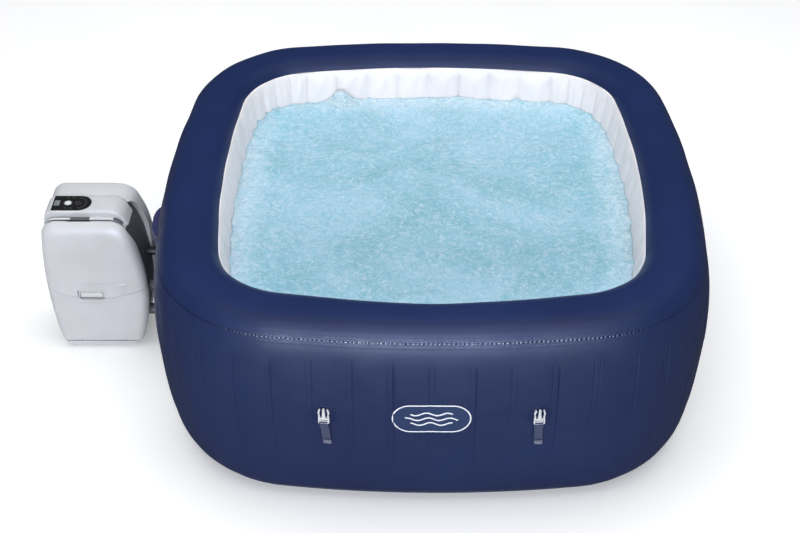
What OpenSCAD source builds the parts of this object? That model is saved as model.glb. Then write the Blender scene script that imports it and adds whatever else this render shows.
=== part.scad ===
// Inflatable square hot tub with an external pump and heater unit.
// The origin is the centre of the tub's underside, on the ground. +Z is up, the front of the
// tub faces -Y and the pump unit stands on the -X side. All lengths are in millimetres.

/* [Tub] */
// Width of the tub across its bowed sides
tub_w = 1800; // [1700:10:1900]
// Height of the inflated wall
tub_h = 710; // [660:10:760]
// Thickness of the inflated wall
wall_t = 240; // [220:2:260]
// Plan radius of the outer corners
corner_r = 452; // [430:2:480]
// Plan radius of the shallow bow along each side
bow_r = 3730; // [3500:10:4200]
// How far the outer wall draws in at the ground
wall_taper = 20; // [10:1:25]
// Squareness of the wall's cross-section
wall_power = 3.16; // [2.9:0.01:3.5]
// Thickness of the laminated wall skin
skin_t = 2; // [1.5:0.1:3]
// Thickness of the ground sheet
ground_t = 3; // [2:0.5:4]
// Number of tension beams behind each straight side
side_beams = 8; // [6:2:8]
// Number of tension beams behind each corner
corner_beams = 5; // [4:1:6]

/* [Cover buckles] */
// Distance of a buckle from the middle of its side
buckle_x = 316; // [250:2:350]
// Height of the middle of a buckle
buckle_z = 407; // [360:1:440]
// Width of a buckle
buckle_w = 38; // [34:1:42]
// Height of a buckle with its prongs
buckle_h = 64; // [58:1:70]
// Width of the buckle webbing
strap_w = 25; // [20:1:26]
// Length of the free webbing tail below the buckle's bar
tail_l = 91; // [60:1:110]

/* [Wall fittings] */
// Place of the water ports along the pump side
port_y = -20; // [-24:1:-16]
// Place of the air port along the pump side
air_y = 32; // [28:1:36]
// Height of the lower, inlet port
inlet_z = 99; // [95:1:105]
// Height of the outlet port
outlet_z = 205; // [200:1:210]
// Height of the air port
air_z = 316; // [310:1:320]
// Bore radius of the water ports
water_r = 17; // [15:0.5:18]
// Bore radius of the air port
air_r = 12; // [10:0.5:13]
// Place of the drain valve along the pump side
drain_y = -385; // [-390:1:-380]
// Height of the drain valve
drain_z = 100; // [90:1:110]
// Place of the inflation valve along the pump side
valve_y = 360; // [350:1:370]
// Height of the inflation valve
valve_z = 540; // [500:1:560]
// Height of the carry handle
handle_z = 450; // [430:1:470]
// Length of the carry handle's free arch
handle_l = 200; // [180:5:220]
// Stand-off of the carry handle at its middle
handle_gap = 45; // [40:1:48]

/* [Pump unit] */
// Middle of the pump unit along X
pump_x = -1142; // [-1150:1:-1140]
// Middle of the pump unit along Y
pump_y = 12; // [8:1:16]
// Widest width of the pump unit
pump_w = 346; // [340:1:350]
// Depth of the pump unit
pump_d = 272; // [268:1:276]
// Height of the pump's shells
pump_h = 530; // [526:1:532]
// Height of the bridge that carries the control panel
bridge_h = 546; // [542:1:550]
// Width of the bridge band between the shells
bridge_w = 96; // [92:1:100]
// Wall thickness of the pump's mouldings
case_t = 3; // [2.5:0.1:3.5]
// Length of the control panel
panel_l = 130; // [124:1:134]
// Width of the control panel
panel_w = 84; // [80:1:88]
// Radius of the large round button
button_r = 12; // [10:0.5:13]

/* [Hidden] */

$fn = 64;
big_fn = 180;
clear = 0.4;

half_w = tub_w / 2;
bow_d = bow_r - half_w;
corner_c = (-bow_d + sqrt(2 * pow(bow_r - corner_r, 2) - bow_d * bow_d)) / 2;
join_a = atan2(corner_c + bow_d, corner_c);
wall_h = tub_h - ground_t;
taper_top = 0.6 * tub_h;

// Angles round the wall's section: 0 is the outer side, 90 the top, 180 the basin side.
seam_a = 51.4;
rim_a = 124.9;
foot_a = 262;
section_step = 8;
outer_step = 8.31;
beam_t = 1;
channel_n = 212;
channel_z = 22;
channel_r = 16;
badge_z = 396;

// A buckle's bar: its height above the buckle's foot, its stand-off and its radius.
bar_up = 5;
bar_out = 9;
bar_r = 2.5;

drain_neck_r = 15;
drain_tilt = 14;
valve_tilt = 5;
water_flange_r = 42;
air_flange_r = 34;
neck_end_x = -half_w - 25;
gasket_t = 2;
nut_x0 = neck_end_x - 20;
nut_x1 = neck_end_x + 18;
filter_r = 45;
filter_x0 = -half_w + wall_t + 24;
filter_x1 = filter_x0 + 100;

// Pump unit: bottom of the shells, split planes and outline arcs.
pump_foot = 6;
front_split_v = 86;
rear_split_v = 72;
front_v = pump_d / 2;
outer_side_r = 1500;
outer_side_z = 290;
inner_side_r = 620;
inner_side_z = 250;
shell_corner = 50;
core_inset = 8;
spigot_x = pump_x + 127;

bridge_y = pump_y - 22;
roof_v = 27;
rear_h = bridge_h - 2;
panel_x0 = pump_x - 130;
button_x = panel_x0 + 51;
gland_z = 60;
gland_r = 9;
cord_r = 4.5;

// Inside the pump unit.
volute_x1 = spigot_x - 1;
volute_x0 = volute_x1 - 43;
shaft_r = 4;
hose_r = 9;
heater_x0 = pump_x - 46;
blower_x = pump_x + 10;
blower_z0 = 286;
blower_h = 62;
blower_r = 60;

// Lower front cover: depth of its rear edge, curved seam, hinge and latch.
cover_v = 104;
cover_low = 36;
seam_z = 229;
seam_r = 406;
seam_gap = 1.1;
hinge_y = pump_y - front_v + 5;
hinge_z = 41;
hinge_pin_r = 2;
knuckle_r = 4.4;
lug_x = 78;
latch_x = pump_x - 19;
latch_z = seam_z + 12;

// ---- Tub geometry -------------------------------------------------------------------------

function signed_pow(v, e) = sign(v) * pow(abs(v), e);

function taper_at(n, z) = wall_taper * (1 - n / wall_t) * max(0, 1 - z / taper_top);

// A point on the wall's section, as [distance in from the outermost outline, height].
function wall_point(a, inset) =
    let (half_t = wall_t / 2)
    let (n = half_t - (half_t - inset) * signed_pow(cos(a), 2 / wall_power))
    let (z = ground_t + wall_h / 2 + (wall_h / 2 - inset) * signed_pow(sin(a), 2 / wall_power))
    [n + taper_at(n, z), z];

// How far in from the outermost outline the wall's outer face lies at a height.
function wall_n(z) =
    let (rise = abs(z - ground_t - wall_h / 2) / (wall_h / 2))
    let (n = wall_t / 2 * (1 - pow(1 - pow(rise, wall_power), 1 / wall_power)))
    n + taper_at(n, z);

module skin_section(from_a, to_a, step = section_step) {
    steps = ceil((to_a - from_a) / step);
    polygon(concat(
        [for (i = [0:steps]) wall_point(from_a + (to_a - from_a) * i / steps, 0)],
        [for (i = [0:steps]) wall_point(to_a - (to_a - from_a) * i / steps, skin_t)]));
}

// Sweeps a section, drawn as [distance in, height], round the tub: four side panels and four
// corner panels, with a hairline gap at each butt joint.
module round_the_tub() {
    corner_gap = 0.01;
    side_gap = 0.001;
    for (quarter = [0:3]) rotate(90 * quarter) {
        translate([corner_c, corner_c, 0])
            rotate_extrude(angle = 2 * (join_a - corner_gap) - 90, start = 90 - join_a + corner_gap, $fn = big_fn)
                translate([corner_r, 0]) mirror([1, 0]) children();
        translate([0, -bow_d, 0])
            rotate_extrude(angle = 180 - 2 * (join_a + side_gap), start = join_a + side_gap, $fn = 4 * big_fn)
                translate([bow_r, 0]) mirror([1, 0]) children();
    }
}

// The tub's plan outline, drawn in by n.
module plan(n) {
    reach = 2 * half_w;
    cross = 2 * (corner_c + (corner_r - n) * cos(join_a));
    intersection() {
        union() {
            square([cross, reach], center = true);
            square([reach, cross], center = true);
        }
        intersection_for (side = [0:3]) {
            rotate(90 * side) translate([0, -bow_d]) circle(r = bow_r - n, $fn = 8 * big_fn);
        }
    }
    for (quarter = [0:3]) {
        rotate(90 * quarter) translate([corner_c, corner_c]) circle(r = corner_r - n, $fn = big_fn);
    }
}

// Places things on the outer wall: side 0 is +Y, 1 is -X, 2 is -Y; +Y points out of the wall.
module on_wall(side, along, z) {
    rotate(90 * side) translate([0, -bow_d, 0]) rotate(-asin(along / bow_r))
        translate([0, bow_r - wall_n(z), z]) children();
}

// ---- Small helpers ------------------------------------------------------------------------

module rod_x(x0, x1, y, z, r) {
    translate([x0, y, z]) rotate([0, 90, 0]) cylinder(h = x1 - x0, r = r);
}

module ring_x(x0, x1, y, z, outer, inner) {
    difference() {
        rod_x(x0, x1, y, z, outer);
        rod_x(x0 - 1, x1 + 1, y, z, inner);
    }
}

module box_between(low, high) {
    translate(low) cube(high - low);
}

// ---- Tub skins ----------------------------------------------------------------------------

// Clearance holes where the ports and the drain pass through both skins.
module skin_holes() {
    hole_x0 = -half_w - 10;
    hole_x1 = -half_w + wall_t + 20;
    rod_x(hole_x0, hole_x1, port_y, inlet_z, water_r + 3 + clear);
    rod_x(hole_x0, hole_x1, port_y, outlet_z, water_r + 3 + clear);
    rod_x(hole_x0, hole_x1, air_y, air_z, air_r + 3 + clear);
    on_wall(1, drain_y, drain_z) turned_y(-wall_t - 20, 10, drain_neck_r + clear);
}

module ground_sheet() {
    edge_n = 70;
    color("slategray") linear_extrude(ground_t) plan(edge_n);
}

module floor_liner() {
    color("aliceblue") translate([0, 0, ground_t]) linear_extrude(skin_t)
        plan(wall_point(foot_a, 0)[0] + 2);
}

module outer_wall() {
    color("midnightblue") difference() {
        round_the_tub() skin_section(foot_a - 360, seam_a, outer_step);
        skin_holes();
    }
}

module top_ring() {
    color("darkslateblue") round_the_tub() skin_section(seam_a, rim_a);
}

module inner_wall() {
    color("lavender") difference() {
        round_the_tub() skin_section(rim_a, foot_a);
        skin_holes();
    }
}

// One tension beam, standing across the wall's air chamber.
module beam_plate(sweep_r) {
    beam_low = 60;
    beam_high = tub_h - 70;
    rotate([90, 0, 0]) linear_extrude(beam_t, center = true)
        translate([sweep_r, 0]) mirror([1, 0]) intersection() {
            polygon([for (a = [0:section_step:359]) wall_point(a, skin_t + clear)]);
            translate([0, beam_low]) square([wall_t, beam_high - beam_low]);
        }
}

module wall_beams() {
    side_step = (180 - 2 * join_a) / side_beams;
    corner_step = (2 * join_a - 90) / corner_beams;
    color("gainsboro") for (quarter = [0:3]) rotate(90 * quarter) {
        translate([0, -bow_d, 0]) for (i = [0:side_beams - 1]) {
            rotate(join_a + (i + 0.5) * side_step) beam_plate(bow_r);
        }
        translate([corner_c, corner_c, 0]) for (i = [0:corner_beams - 1]) {
            rotate(90 - join_a + (i + 0.5) * corner_step) beam_plate(corner_r);
        }
    }
}

module perimeter_welt() {
    welt_r = 3;
    seam = wall_point(seam_a, -welt_r - 0.1);
    color("navy") round_the_tub() translate(seam) circle(r = welt_r, $fn = 24);
}

// The perforated air channel that lies round the foot of the basin.
module bubble_channel() {
    slot = [14, 4, 6];
    slots = 12;
    slot_step = 60;
    color("white") difference() {
        round_the_tub() translate([channel_n, channel_z]) difference() {
            circle(r = channel_r, $fn = 32);
            circle(r = channel_r - skin_t, $fn = 32);
        }
        for (quarter = [0:3], i = [0:slots - 1]) {
            rotate(90 * quarter)
                translate([(i - (slots - 1) / 2) * slot_step, half_w - channel_n - 10, channel_z + channel_r])
                cube(slot, center = true);
        }
    }
}

// A flat duct from the air port down the liner to the bubble channel.
module air_riser() {
    duct_w = 20;
    near_n = wall_t + 8;
    far_n = near_n + 11;
    low_z = channel_z + channel_r + 1;
    high_z = air_z + air_r + 6;
    color("whitesmoke") difference() {
        box_between([-half_w + near_n, air_y - duct_w / 2, low_z], [-half_w + far_n, air_y + duct_w / 2, high_z]);
        box_between([-half_w + near_n + 2, air_y - duct_w / 2 + 2, low_z - 1],
            [-half_w + far_n - 2, air_y + duct_w / 2 - 2, high_z - 2]);
    }
}

module carry_handle() {
    band_w = 40;
    band_t = 3;
    patch_l = 34;
    arch_r = (pow(handle_l / 2, 2) + pow(handle_gap, 2)) / (2 * handle_gap);
    half_a = asin(handle_l / 2 / arch_r);
    color("navy") on_wall(1, 0, handle_z) {
        translate([0, handle_gap - arch_r, -band_w / 2])
            rotate_extrude(angle = 2 * half_a, start = 90 - half_a, $fn = big_fn)
            translate([arch_r - band_t / 2, 0]) square([band_t, band_w]);
        for (end = [-1, 1]) {
            translate([end * (handle_l + patch_l) / 2, 1.2, 0]) cube([patch_l, 2, band_w], center = true);
        }
    }
}

// A blank badge: a long flat plate with half-round ends.
module emblem_patch() {
    badge_w = 240;
    badge_h = 116;
    badge_t = 1.2;
    color("navy") on_wall(2, 0, badge_z) translate([0, 0.4 + badge_t, 0]) rotate([90, 0, 0])
        linear_extrude(badge_t) {
            square([badge_w - badge_h, badge_h], center = true);
            for (end = [-1, 1]) translate([end * (badge_w - badge_h) / 2, 0]) circle(r = badge_h / 2);
        }
}

// ---- Cover buckles ------------------------------------------------------------------------

// Each buckle's wall side and its place along that wall, in the order of the names below.
BUCKLES = [[2, buckle_x], [2, -buckle_x], [0, -buckle_x], [0, buckle_x]];

module at_buckle(index) {
    on_wall(BUCKLES[index][0], BUCKLES[index][1], buckle_z) children();
}

module buckle_patches() {
    patch_r = 38;
    patch_t = 1.2;
    color("navy") for (index = [0:3]) {
        at_buckle(index) translate([0, 0.3 + patch_t, -8]) rotate([90, 0, 0]) cylinder(h = patch_t, r = patch_r);
    }
}

// The prong half of a side-release buckle. It turns on the bar at its lower end.
module buckle(index) {
    body_t = 9;
    cheek = 3.5;
    frame_h = 24;
    arm_w = 6;
    bar_z = -buckle_h / 2 + bar_up;
    slot_w = buckle_w - 2 * cheek;
    top = buckle_h / 2;
    block_top = -buckle_h / 2 + frame_h;
    color("lightgray") at_buckle(index) translate([0, bar_out, 0]) {
        rod_x(-buckle_w / 2, buckle_w / 2, 0, bar_z, bar_r);
        rotate([90, 0, 0]) linear_extrude(body_t, center = true) {
            difference() {
                translate([-buckle_w / 2, bar_z]) square([buckle_w, block_top - bar_z]);
                translate([-slot_w / 2, bar_z - 1]) square([slot_w, 6.5]);
                translate([-slot_w / 2, bar_z + 10]) square([slot_w, 3.5]);
            }
            for (flip = [0, 1]) mirror([flip, 0]) polygon([
                [buckle_w / 2 - arm_w, block_top], [buckle_w / 2 - 1, block_top],
                [buckle_w / 2, top - 22], [buckle_w / 2 + 1.5, top - 12], [buckle_w / 2 - 3, top],
                [buckle_w / 2 - arm_w - 3, top]
            ]);
        }
        translate([0, 0, (block_top + top) / 2 - 2]) cube([5, body_t - 4, top - block_top - 4], center = true);
    }
}

module front_left_buckle() {
    buckle(0);
}

module front_right_buckle() {
    buckle(1);
}

module rear_left_buckle() {
    buckle(2);
}

module rear_right_buckle() {
    buckle(3);
}

// Webbing that loops round a buckle's bar and hangs down the wall.
module strap(index) {
    web_t = 1.6;
    loop_r = bar_r + clear;
    bar_z = -buckle_h / 2 + bar_up;
    color("darkslateblue") at_buckle(index) translate([0, bar_out, bar_z]) {
        ring_x(-strap_w / 2, strap_w / 2, 0, 0, loop_r + web_t, loop_r);
        box_between([-strap_w / 2, -loop_r - web_t, -tail_l], [strap_w / 2, -loop_r, 0]);
    }
}

module front_left_strap() {
    strap(0);
}

module front_right_strap() {
    strap(1);
}

module rear_left_strap() {
    strap(2);
}

module rear_right_strap() {
    strap(3);
}

// ---- Drain and inflation valves -----------------------------------------------------------

module at_drain() {
    on_wall(1, drain_y, drain_z) rotate([-drain_tilt, 0, 0]) children();
}

module turned_y(y0, y1, r) {
    translate([0, y0, 0]) rotate([-90, 0, 0]) cylinder(h = y1 - y0, r = r);
}

// The tilted outer neck, and the tube that leads through the wall's air chamber to the basin.
module drain_flange() {
    bore_r = drain_neck_r - 4;
    tube_r = drain_neck_r - 1.5;
    inner_y = wall_n(drain_z) - wall_t - 0.5;
    color("whitesmoke") difference() {
        union() {
            at_drain() turned_y(1, 5, 28);
            at_drain() turned_y(-12, 20, tube_r);
            on_wall(1, drain_y, drain_z) turned_y(inner_y - 3, -3, tube_r);
            on_wall(1, drain_y, drain_z) turned_y(inner_y - 4, inner_y, tube_r + 5);
        }
        at_drain() turned_y(-8, 21, bore_r);
        on_wall(1, drain_y, drain_z) turned_y(inner_y - 5, -5, bore_r);
    }
}

module drain_cap() {
    grips = 12;
    color("lightgray") at_drain() difference() {
        turned_y(8, 25, drain_neck_r + 5);
        turned_y(7, 21, drain_neck_r - 1.5 + clear);
        for (i = [0:grips - 1]) {
            rotate([0, i * 360 / grips, 0]) translate([drain_neck_r + 6, 0, 0]) turned_y(10, 26, 1.8);
        }
    }
}

// A thin loop of cord moulded to a collar round the valve's neck.
module drain_tether() {
    wire_r = 1.2;
    collar_r = drain_neck_r + 0.2;
    loop_r = 13;
    bead_r = 2.4;
    color("silver") at_drain() translate([0, 6.4, 0]) {
        rotate([90, 0, 0]) rotate_extrude() translate([collar_r, 0]) circle(r = wire_r, $fn = 24);
        translate([0, 0, -collar_r - 2 * bead_r - loop_r + 1.2]) rotate([90, 0, 0])
            rotate_extrude() translate([loop_r, 0]) circle(r = wire_r, $fn = 24);
        translate([0, 0, -collar_r - bead_r + 0.6]) turned_y(-1.1, 1.1, bead_r);
    }
}

module at_valve() {
    on_wall(1, valve_y, valve_z) rotate([valve_tilt, 0, 0]) children();
}

module inflation_valve() {
    color("gray") at_valve() difference() {
        union() {
            turned_y(1, 4, 24);
            turned_y(3, 14, 11);
        }
        turned_y(0, 15, 7);
    }
}

module inflation_valve_cap() {
    grips = 10;
    color("dimgray") at_valve() difference() {
        turned_y(5, 18, 15);
        turned_y(4, 14.6, 11 + clear);
        for (i = [0:grips - 1]) {
            rotate([0, i * 360 / grips, 0]) translate([15.6, 0, 0]) turned_y(6, 19, 1.6);
        }
    }
}

// ---- Ports between the tub and the pump ---------------------------------------------------

// X of a port's outer flange where it meets the wall, from the wall's bulge above it.
function port_x(z, flange_r) = -(half_w - wall_n(z + flange_r)) - 0.5;

module port(y, z, bore, flange_r) {
    neck_r = bore + 3;
    wall_x = port_x(z, flange_r);
    inner_x = -half_w + wall_t + 2;
    color("dimgray") difference() {
        union() {
            rod_x(neck_end_x, inner_x, y, z, neck_r);
            rod_x(wall_x - 6, wall_x, y, z, flange_r);
            rod_x(inner_x - 0.5, inner_x + 4.5, y, z, flange_r - 6);
        }
        rod_x(neck_end_x - 1, inner_x + 6, y, z, bore);
    }
}

module inlet_port() {
    port(port_y, inlet_z, water_r, water_flange_r);
}

module outlet_port() {
    port(port_y, outlet_z, water_r, water_flange_r);
}

module air_port() {
    port(air_y, air_z, air_r, air_flange_r);
}

module port_gaskets() {
    gasket_x = neck_end_x - gasket_t;
    color("black") {
        ring_x(gasket_x, neck_end_x, port_y, inlet_z, water_r + 3, water_r);
        ring_x(gasket_x, neck_end_x, port_y, outlet_z, water_r + 3, water_r);
        ring_x(gasket_x, neck_end_x, air_y, air_z, air_r + 3, air_r);
    }
}

// A union nut with grip ribs, free to turn on the port's neck and the pump's spigot.
module union_nut(y, z, bore) {
    ribs = 12;
    inner = bore + 3 + clear;
    outer = inner + 9;
    color("black") {
        ring_x(nut_x0, nut_x1, y, z, outer, inner);
        for (i = [0:ribs - 1]) {
            translate([nut_x0, y, z]) rotate([i * 360 / ribs, 0, 0])
                translate([0, outer - 1, -2.5]) cube([nut_x1 - nut_x0, 4, 5]);
        }
    }
}

module inlet_union_nut() {
    union_nut(port_y, inlet_z, water_r);
}

module outlet_union_nut() {
    union_nut(port_y, outlet_z, water_r);
}

module air_union_nut() {
    union_nut(air_y, air_z, air_r);
}

module spigot(y, z, bore) {
    color("gray") difference() {
        union() {
            rod_x(spigot_x, neck_end_x - gasket_t, y, z, bore + 3);
            rod_x(spigot_x, spigot_x + 6, y, z, bore + 9);
        }
        rod_x(spigot_x - 1, neck_end_x, y, z, bore);
    }
}

module water_spigots() {
    spigot(port_y, inlet_z, water_r);
    spigot(port_y, outlet_z, water_r);
}

module air_spigot() {
    spigot(air_y, air_z, air_r);
}

// A slotted grille over the outlet, on the basin side.
module outlet_screen() {
    screen_r = 30;
    screen_x = -half_w + wall_t + 7;
    slot_pitch = 9;
    color("lightgray") difference() {
        rod_x(screen_x, screen_x + 9, port_y, outlet_z, screen_r);
        rod_x(screen_x - 1, screen_x + 6, port_y, outlet_z, screen_r - 3);
        for (i = [-2:2]) {
            translate([screen_x + 8, port_y, outlet_z + i * slot_pitch]) cube([8, 36, 4], center = true);
        }
    }
}

module filter_housing() {
    color("lightgray") difference() {
        union() {
            rod_x(filter_x0 - 17, filter_x0 + 1, port_y, inlet_z, water_r + 5);
            rod_x(filter_x0, filter_x1, port_y, inlet_z, filter_r);
        }
        rod_x(filter_x0 - 18, filter_x0 + 4, port_y, inlet_z, water_r);
        rod_x(filter_x0 + 3, filter_x1 + 1, port_y, inlet_z, filter_r - 3);
    }
}

module filter_cartridge() {
    pleats = 16;
    media_r = filter_r - 8;
    color("white") difference() {
        union() {
            rod_x(filter_x0 + 5, filter_x1 - 3, port_y, inlet_z, media_r);
            rod_x(filter_x0 + 4, filter_x0 + 8, port_y, inlet_z, media_r + 3);
            rod_x(filter_x1 - 7, filter_x1 - 3, port_y, inlet_z, media_r + 3);
        }
        rod_x(filter_x0 + 3, filter_x1, port_y, inlet_z, water_r);
        for (i = [0:pleats - 1]) {
            translate([filter_x0 + 9, port_y, inlet_z]) rotate([i * 360 / pleats, 0, 0])
                translate([0, media_r - 6, -1.5]) cube([filter_x1 - filter_x0 - 17, 8, 3]);
        }
    }
}

module filter_cap() {
    openings = 8;
    cap_x = filter_x1 + clear;
    color("silver") difference() {
        union() {
            rod_x(cap_x, cap_x + 5, port_y, inlet_z, filter_r + 4);
            ring_x(filter_x1 - 10, cap_x + 1, port_y, inlet_z, filter_r + 4, filter_r + clear);
        }
        for (i = [0:openings - 1]) {
            translate([cap_x - 1, port_y, inlet_z]) rotate([i * 360 / openings, 0, 0])
                translate([0, 12, -3]) cube([7, 20, 6]);
        }
    }
}

// ---- Pump unit: casing --------------------------------------------------------------------

// The pump's front outline in X and Z, drawn in by inset, with its top at top_z.
module pump_outline(inset, top_z, corner) {
    half = pump_w / 2;
    offset(r = -inset) offset(r = corner) offset(r = -corner) intersection() {
        translate([pump_x - half + outer_side_r, outer_side_z]) circle(r = outer_side_r, $fn = 144);
        translate([pump_x + half - inner_side_r, inner_side_z]) circle(r = inner_side_r, $fn = 144);
        translate([pump_x - half, pump_foot]) square([pump_w, top_z - pump_foot]);
    }
}

// A slab of the outline between two depths v, measured from the middle of the pump.
module pump_slab(v0, v1, inset, top_z = pump_h) {
    translate([0, pump_y + v1, 0]) rotate([90, 0, 0]) linear_extrude(v1 - v0)
        pump_outline(inset, top_z, shell_corner);
}

// The rounded body of an end shell, reaching back to depth v0 and drawn in by inset.
module shell_body(v0, inset, top_z = pump_h) {
    shoulder_v = front_v - 18;
    shoulder_in = 5;
    face_in = 28;
    hull() {
        pump_slab(v0, v0 + 1, inset, top_z);
        pump_slab(shoulder_v - 1, shoulder_v, inset + shoulder_in, top_z);
        pump_slab(front_v - inset - 1, front_v - inset, inset + face_in, top_z);
    }
}

module to_front() {
    translate([0, 2 * pump_y, 0]) mirror([0, 1, 0]) children();
}

// Everything under the curved seam in front of the cover's rear edge.
module cover_zone(gap) {
    depth = front_v - cover_v + 6;
    translate([0, pump_y - cover_v - gap + 0.5, 0]) rotate([90, 0, 0]) linear_extrude(depth) difference() {
        translate([pump_x - pump_w, cover_low + gap]) square([2 * pump_w, seam_z + 60]);
        translate([pump_x, seam_z + seam_r]) circle(r = seam_r + gap, $fn = big_fn);
    }
}

module latch_block(gap, depth) {
    box_between([latch_x - 45 - gap, pump_y - front_v - 1, seam_z - 16],
        [latch_x + 45 + gap, pump_y - front_v + depth, seam_z + 37 + gap]);
}

module front_shell() {
    color("lightgray") {
        difference() {
            to_front() difference() {
                shell_body(front_split_v, 0);
                shell_body(front_split_v - 1, case_t);
            }
            cover_zone(-seam_gap);
            latch_block(1.5, 24);
        }
        to_front() difference() {
            pump_slab(cover_v - 4, cover_v - 1.5, case_t - 0.5);
            translate([pump_x - pump_w, 0, seam_z + 50]) cube([2 * pump_w, 400, 400]);
        }
        for (x = [pump_x - lug_x, pump_x + lug_x]) difference() {
            union() {
                box_between([x - 3, hinge_y, hinge_z - 2.6], [x + 3, pump_y - cover_v + 2.5, hinge_z + 4]);
                rod_x(x - 3, x + 3, hinge_y, hinge_z, knuckle_r);
            }
            rod_x(x - 4, x + 4, hinge_y, hinge_z, hinge_pin_r + 0.02);
        }
    }
}

// The rear shell runs forward over the top as a roof that ends just behind the bridge.
module rear_shell() {
    roof_low = 496;
    color("lightgray") difference() {
        union() {
            shell_body(rear_split_v, 0, rear_h);
            difference() {
                pump_slab(roof_v, rear_split_v + 1, 0, rear_h);
                pump_slab(roof_v - 1, rear_split_v + 2, core_inset - clear);
                translate([pump_x - pump_w, 0, 0]) cube([2 * pump_w, 400, roof_low]);
            }
        }
        pump_slab(roof_v + case_t, rear_split_v + 2, case_t, rear_h);
        shell_body(rear_split_v - 1, case_t, rear_h);
        translate([pump_x, pump_y + front_v - 10, gland_z]) rotate([-90, 0, 0]) cylinder(h = 20, r = gland_r + clear);
    }
}

// Everything under the cover's hinge that would catch on the front shell as the cover tilts.
module hinge_relief() {
    difference() {
        box_between([pump_x - pump_w, pump_y - front_v - 1, cover_low - 1], [pump_x + pump_w, hinge_y, hinge_z]);
        rod_x(pump_x - pump_w - 1, pump_x + pump_w + 1, hinge_y, hinge_z, 5.3);
    }
    for (x = [pump_x - lug_x, pump_x + lug_x]) {
        box_between([x - 3.8, hinge_y - 8, cover_low - 1], [x + 3.8, hinge_y + 8, hinge_z + 5.2]);
    }
}

module lower_cover() {
    knuckle_x = 62;
    pocket_w = 79;
    color("gainsboro") difference() {
        union() {
            intersection() {
                to_front() difference() {
                    shell_body(front_split_v, 0);
                    shell_body(front_split_v - 1, case_t);
                }
                cover_zone(seam_gap);
            }
            intersection() {
                latch_block(0, 12);
                to_front() shell_body(front_split_v, 0.01);
            }
            for (side = [-1, 1]) {
                rod_x(pump_x + side * knuckle_x - 8, pump_x + side * knuckle_x + 8, hinge_y, hinge_z, knuckle_r);
            }
        }
        box_between([latch_x - pocket_w / 2, pump_y - front_v - 2, latch_z - 16],
            [latch_x + pocket_w / 2, pump_y - front_v + 9, latch_z + 12]);
        rod_x(pump_x - 90, pump_x + 90, hinge_y, hinge_z, hinge_pin_r + 0.05);
        hinge_relief();
    }
}

module cover_latch() {
    tab = [74, 7, 20];
    color("whitesmoke") translate([latch_x, pump_y - front_v + 0.4 + tab[1] / 2, latch_z]) cube(tab, center = true);
}

module cover_hinge_pin() {
    color("silver") rod_x(pump_x - 82, pump_x + 82, hinge_y, hinge_z, hinge_pin_r);
}

module core_casing() {
    color("darkslategray") difference() {
        pump_slab(-front_split_v, rear_split_v, core_inset);
        pump_slab(-front_split_v - 1, rear_split_v + 1, core_inset + 4);
        rod_x(spigot_x, neck_end_x, port_y, inlet_z, water_r + 3 + clear);
        rod_x(spigot_x, neck_end_x, port_y, outlet_z, water_r + 3 + clear);
        rod_x(spigot_x, neck_end_x, air_y, air_z, air_r + 3 + clear);
    }
}

// The band over the top of the unit that carries the control panel.
module top_bridge() {
    band_low = 455;
    corner = 18;
    color("lightgray") difference() {
        translate([0, bridge_y + bridge_w / 2, 0]) rotate([90, 0, 0]) linear_extrude(bridge_w) difference() {
            pump_outline(0, bridge_h, corner);
            pump_outline(core_inset - clear, pump_h, shell_corner);
            translate([pump_x - pump_w, 0]) square([2 * pump_w, band_low]);
        }
        translate([0, 0, bridge_h - 1.2]) linear_extrude(10) panel_outline(clear);
        translate([button_x, bridge_y, bridge_h - 8]) cylinder(h = 20, r = button_r + clear);
    }
}

// Flat at the outer end, a half circle at the other.
module panel_outline(grow) {
    end_r = panel_w / 2;
    translate([panel_x0 - grow, bridge_y - end_r - grow]) square([panel_l - end_r + grow, panel_w + 2 * grow]);
    translate([panel_x0 + panel_l - end_r, bridge_y]) circle(r = end_r + grow);
}

module control_panel() {
    color("black") difference() {
        translate([0, 0, bridge_h - 1.1]) linear_extrude(2) panel_outline(0);
        translate([button_x, bridge_y, bridge_h - 3]) cylinder(h = 6, r = button_r + clear);
        translate([panel_x0 + 14, bridge_y, bridge_h]) cube([18, 30, 6], center = true);
    }
}

module display_window() {
    color("dimgray") translate([panel_x0 + 14, bridge_y, bridge_h - 0.2]) cube([17.6, 29.6, 1.6], center = true);
}

module power_button() {
    color("white") translate([button_x, bridge_y, bridge_h - 4]) cylinder(h = 6, r = button_r);
}

module pump_feet() {
    foot_r = 12;
    foot_x = 78;
    foot_v = 82;
    color("black") for (x = [-foot_x, foot_x], v = [-foot_v, foot_v]) {
        translate([pump_x + x, pump_y + v, 0]) cylinder(h = pump_foot, r = foot_r);
    }
}

module case_screws() {
    screw_r = 4;
    screw_z = [90, 270, 440];
    color("silver") for (x = [-105, 105], z = screw_z) {
        translate([pump_x + x, pump_y + front_v + 0.2, z]) rotate([-90, 0, 0]) cylinder(h = 2, r = screw_r);
    }
}

// The inlet for the mains lead.
module cord_gland() {
    color("black") difference() {
        union() {
            translate([pump_x, pump_y + front_v - 12, gland_z]) rotate([-90, 0, 0]) cylinder(h = 22, r = gland_r);
            translate([pump_x, pump_y + front_v + 0.5, gland_z]) rotate([-90, 0, 0]) cylinder(h = 6, r = gland_r + 4);
        }
        translate([pump_x, pump_y + front_v - 13, gland_z]) rotate([-90, 0, 0]) cylinder(h = 30, r = cord_r);
    }
}

// ---- Pump unit: inside --------------------------------------------------------------------

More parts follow.
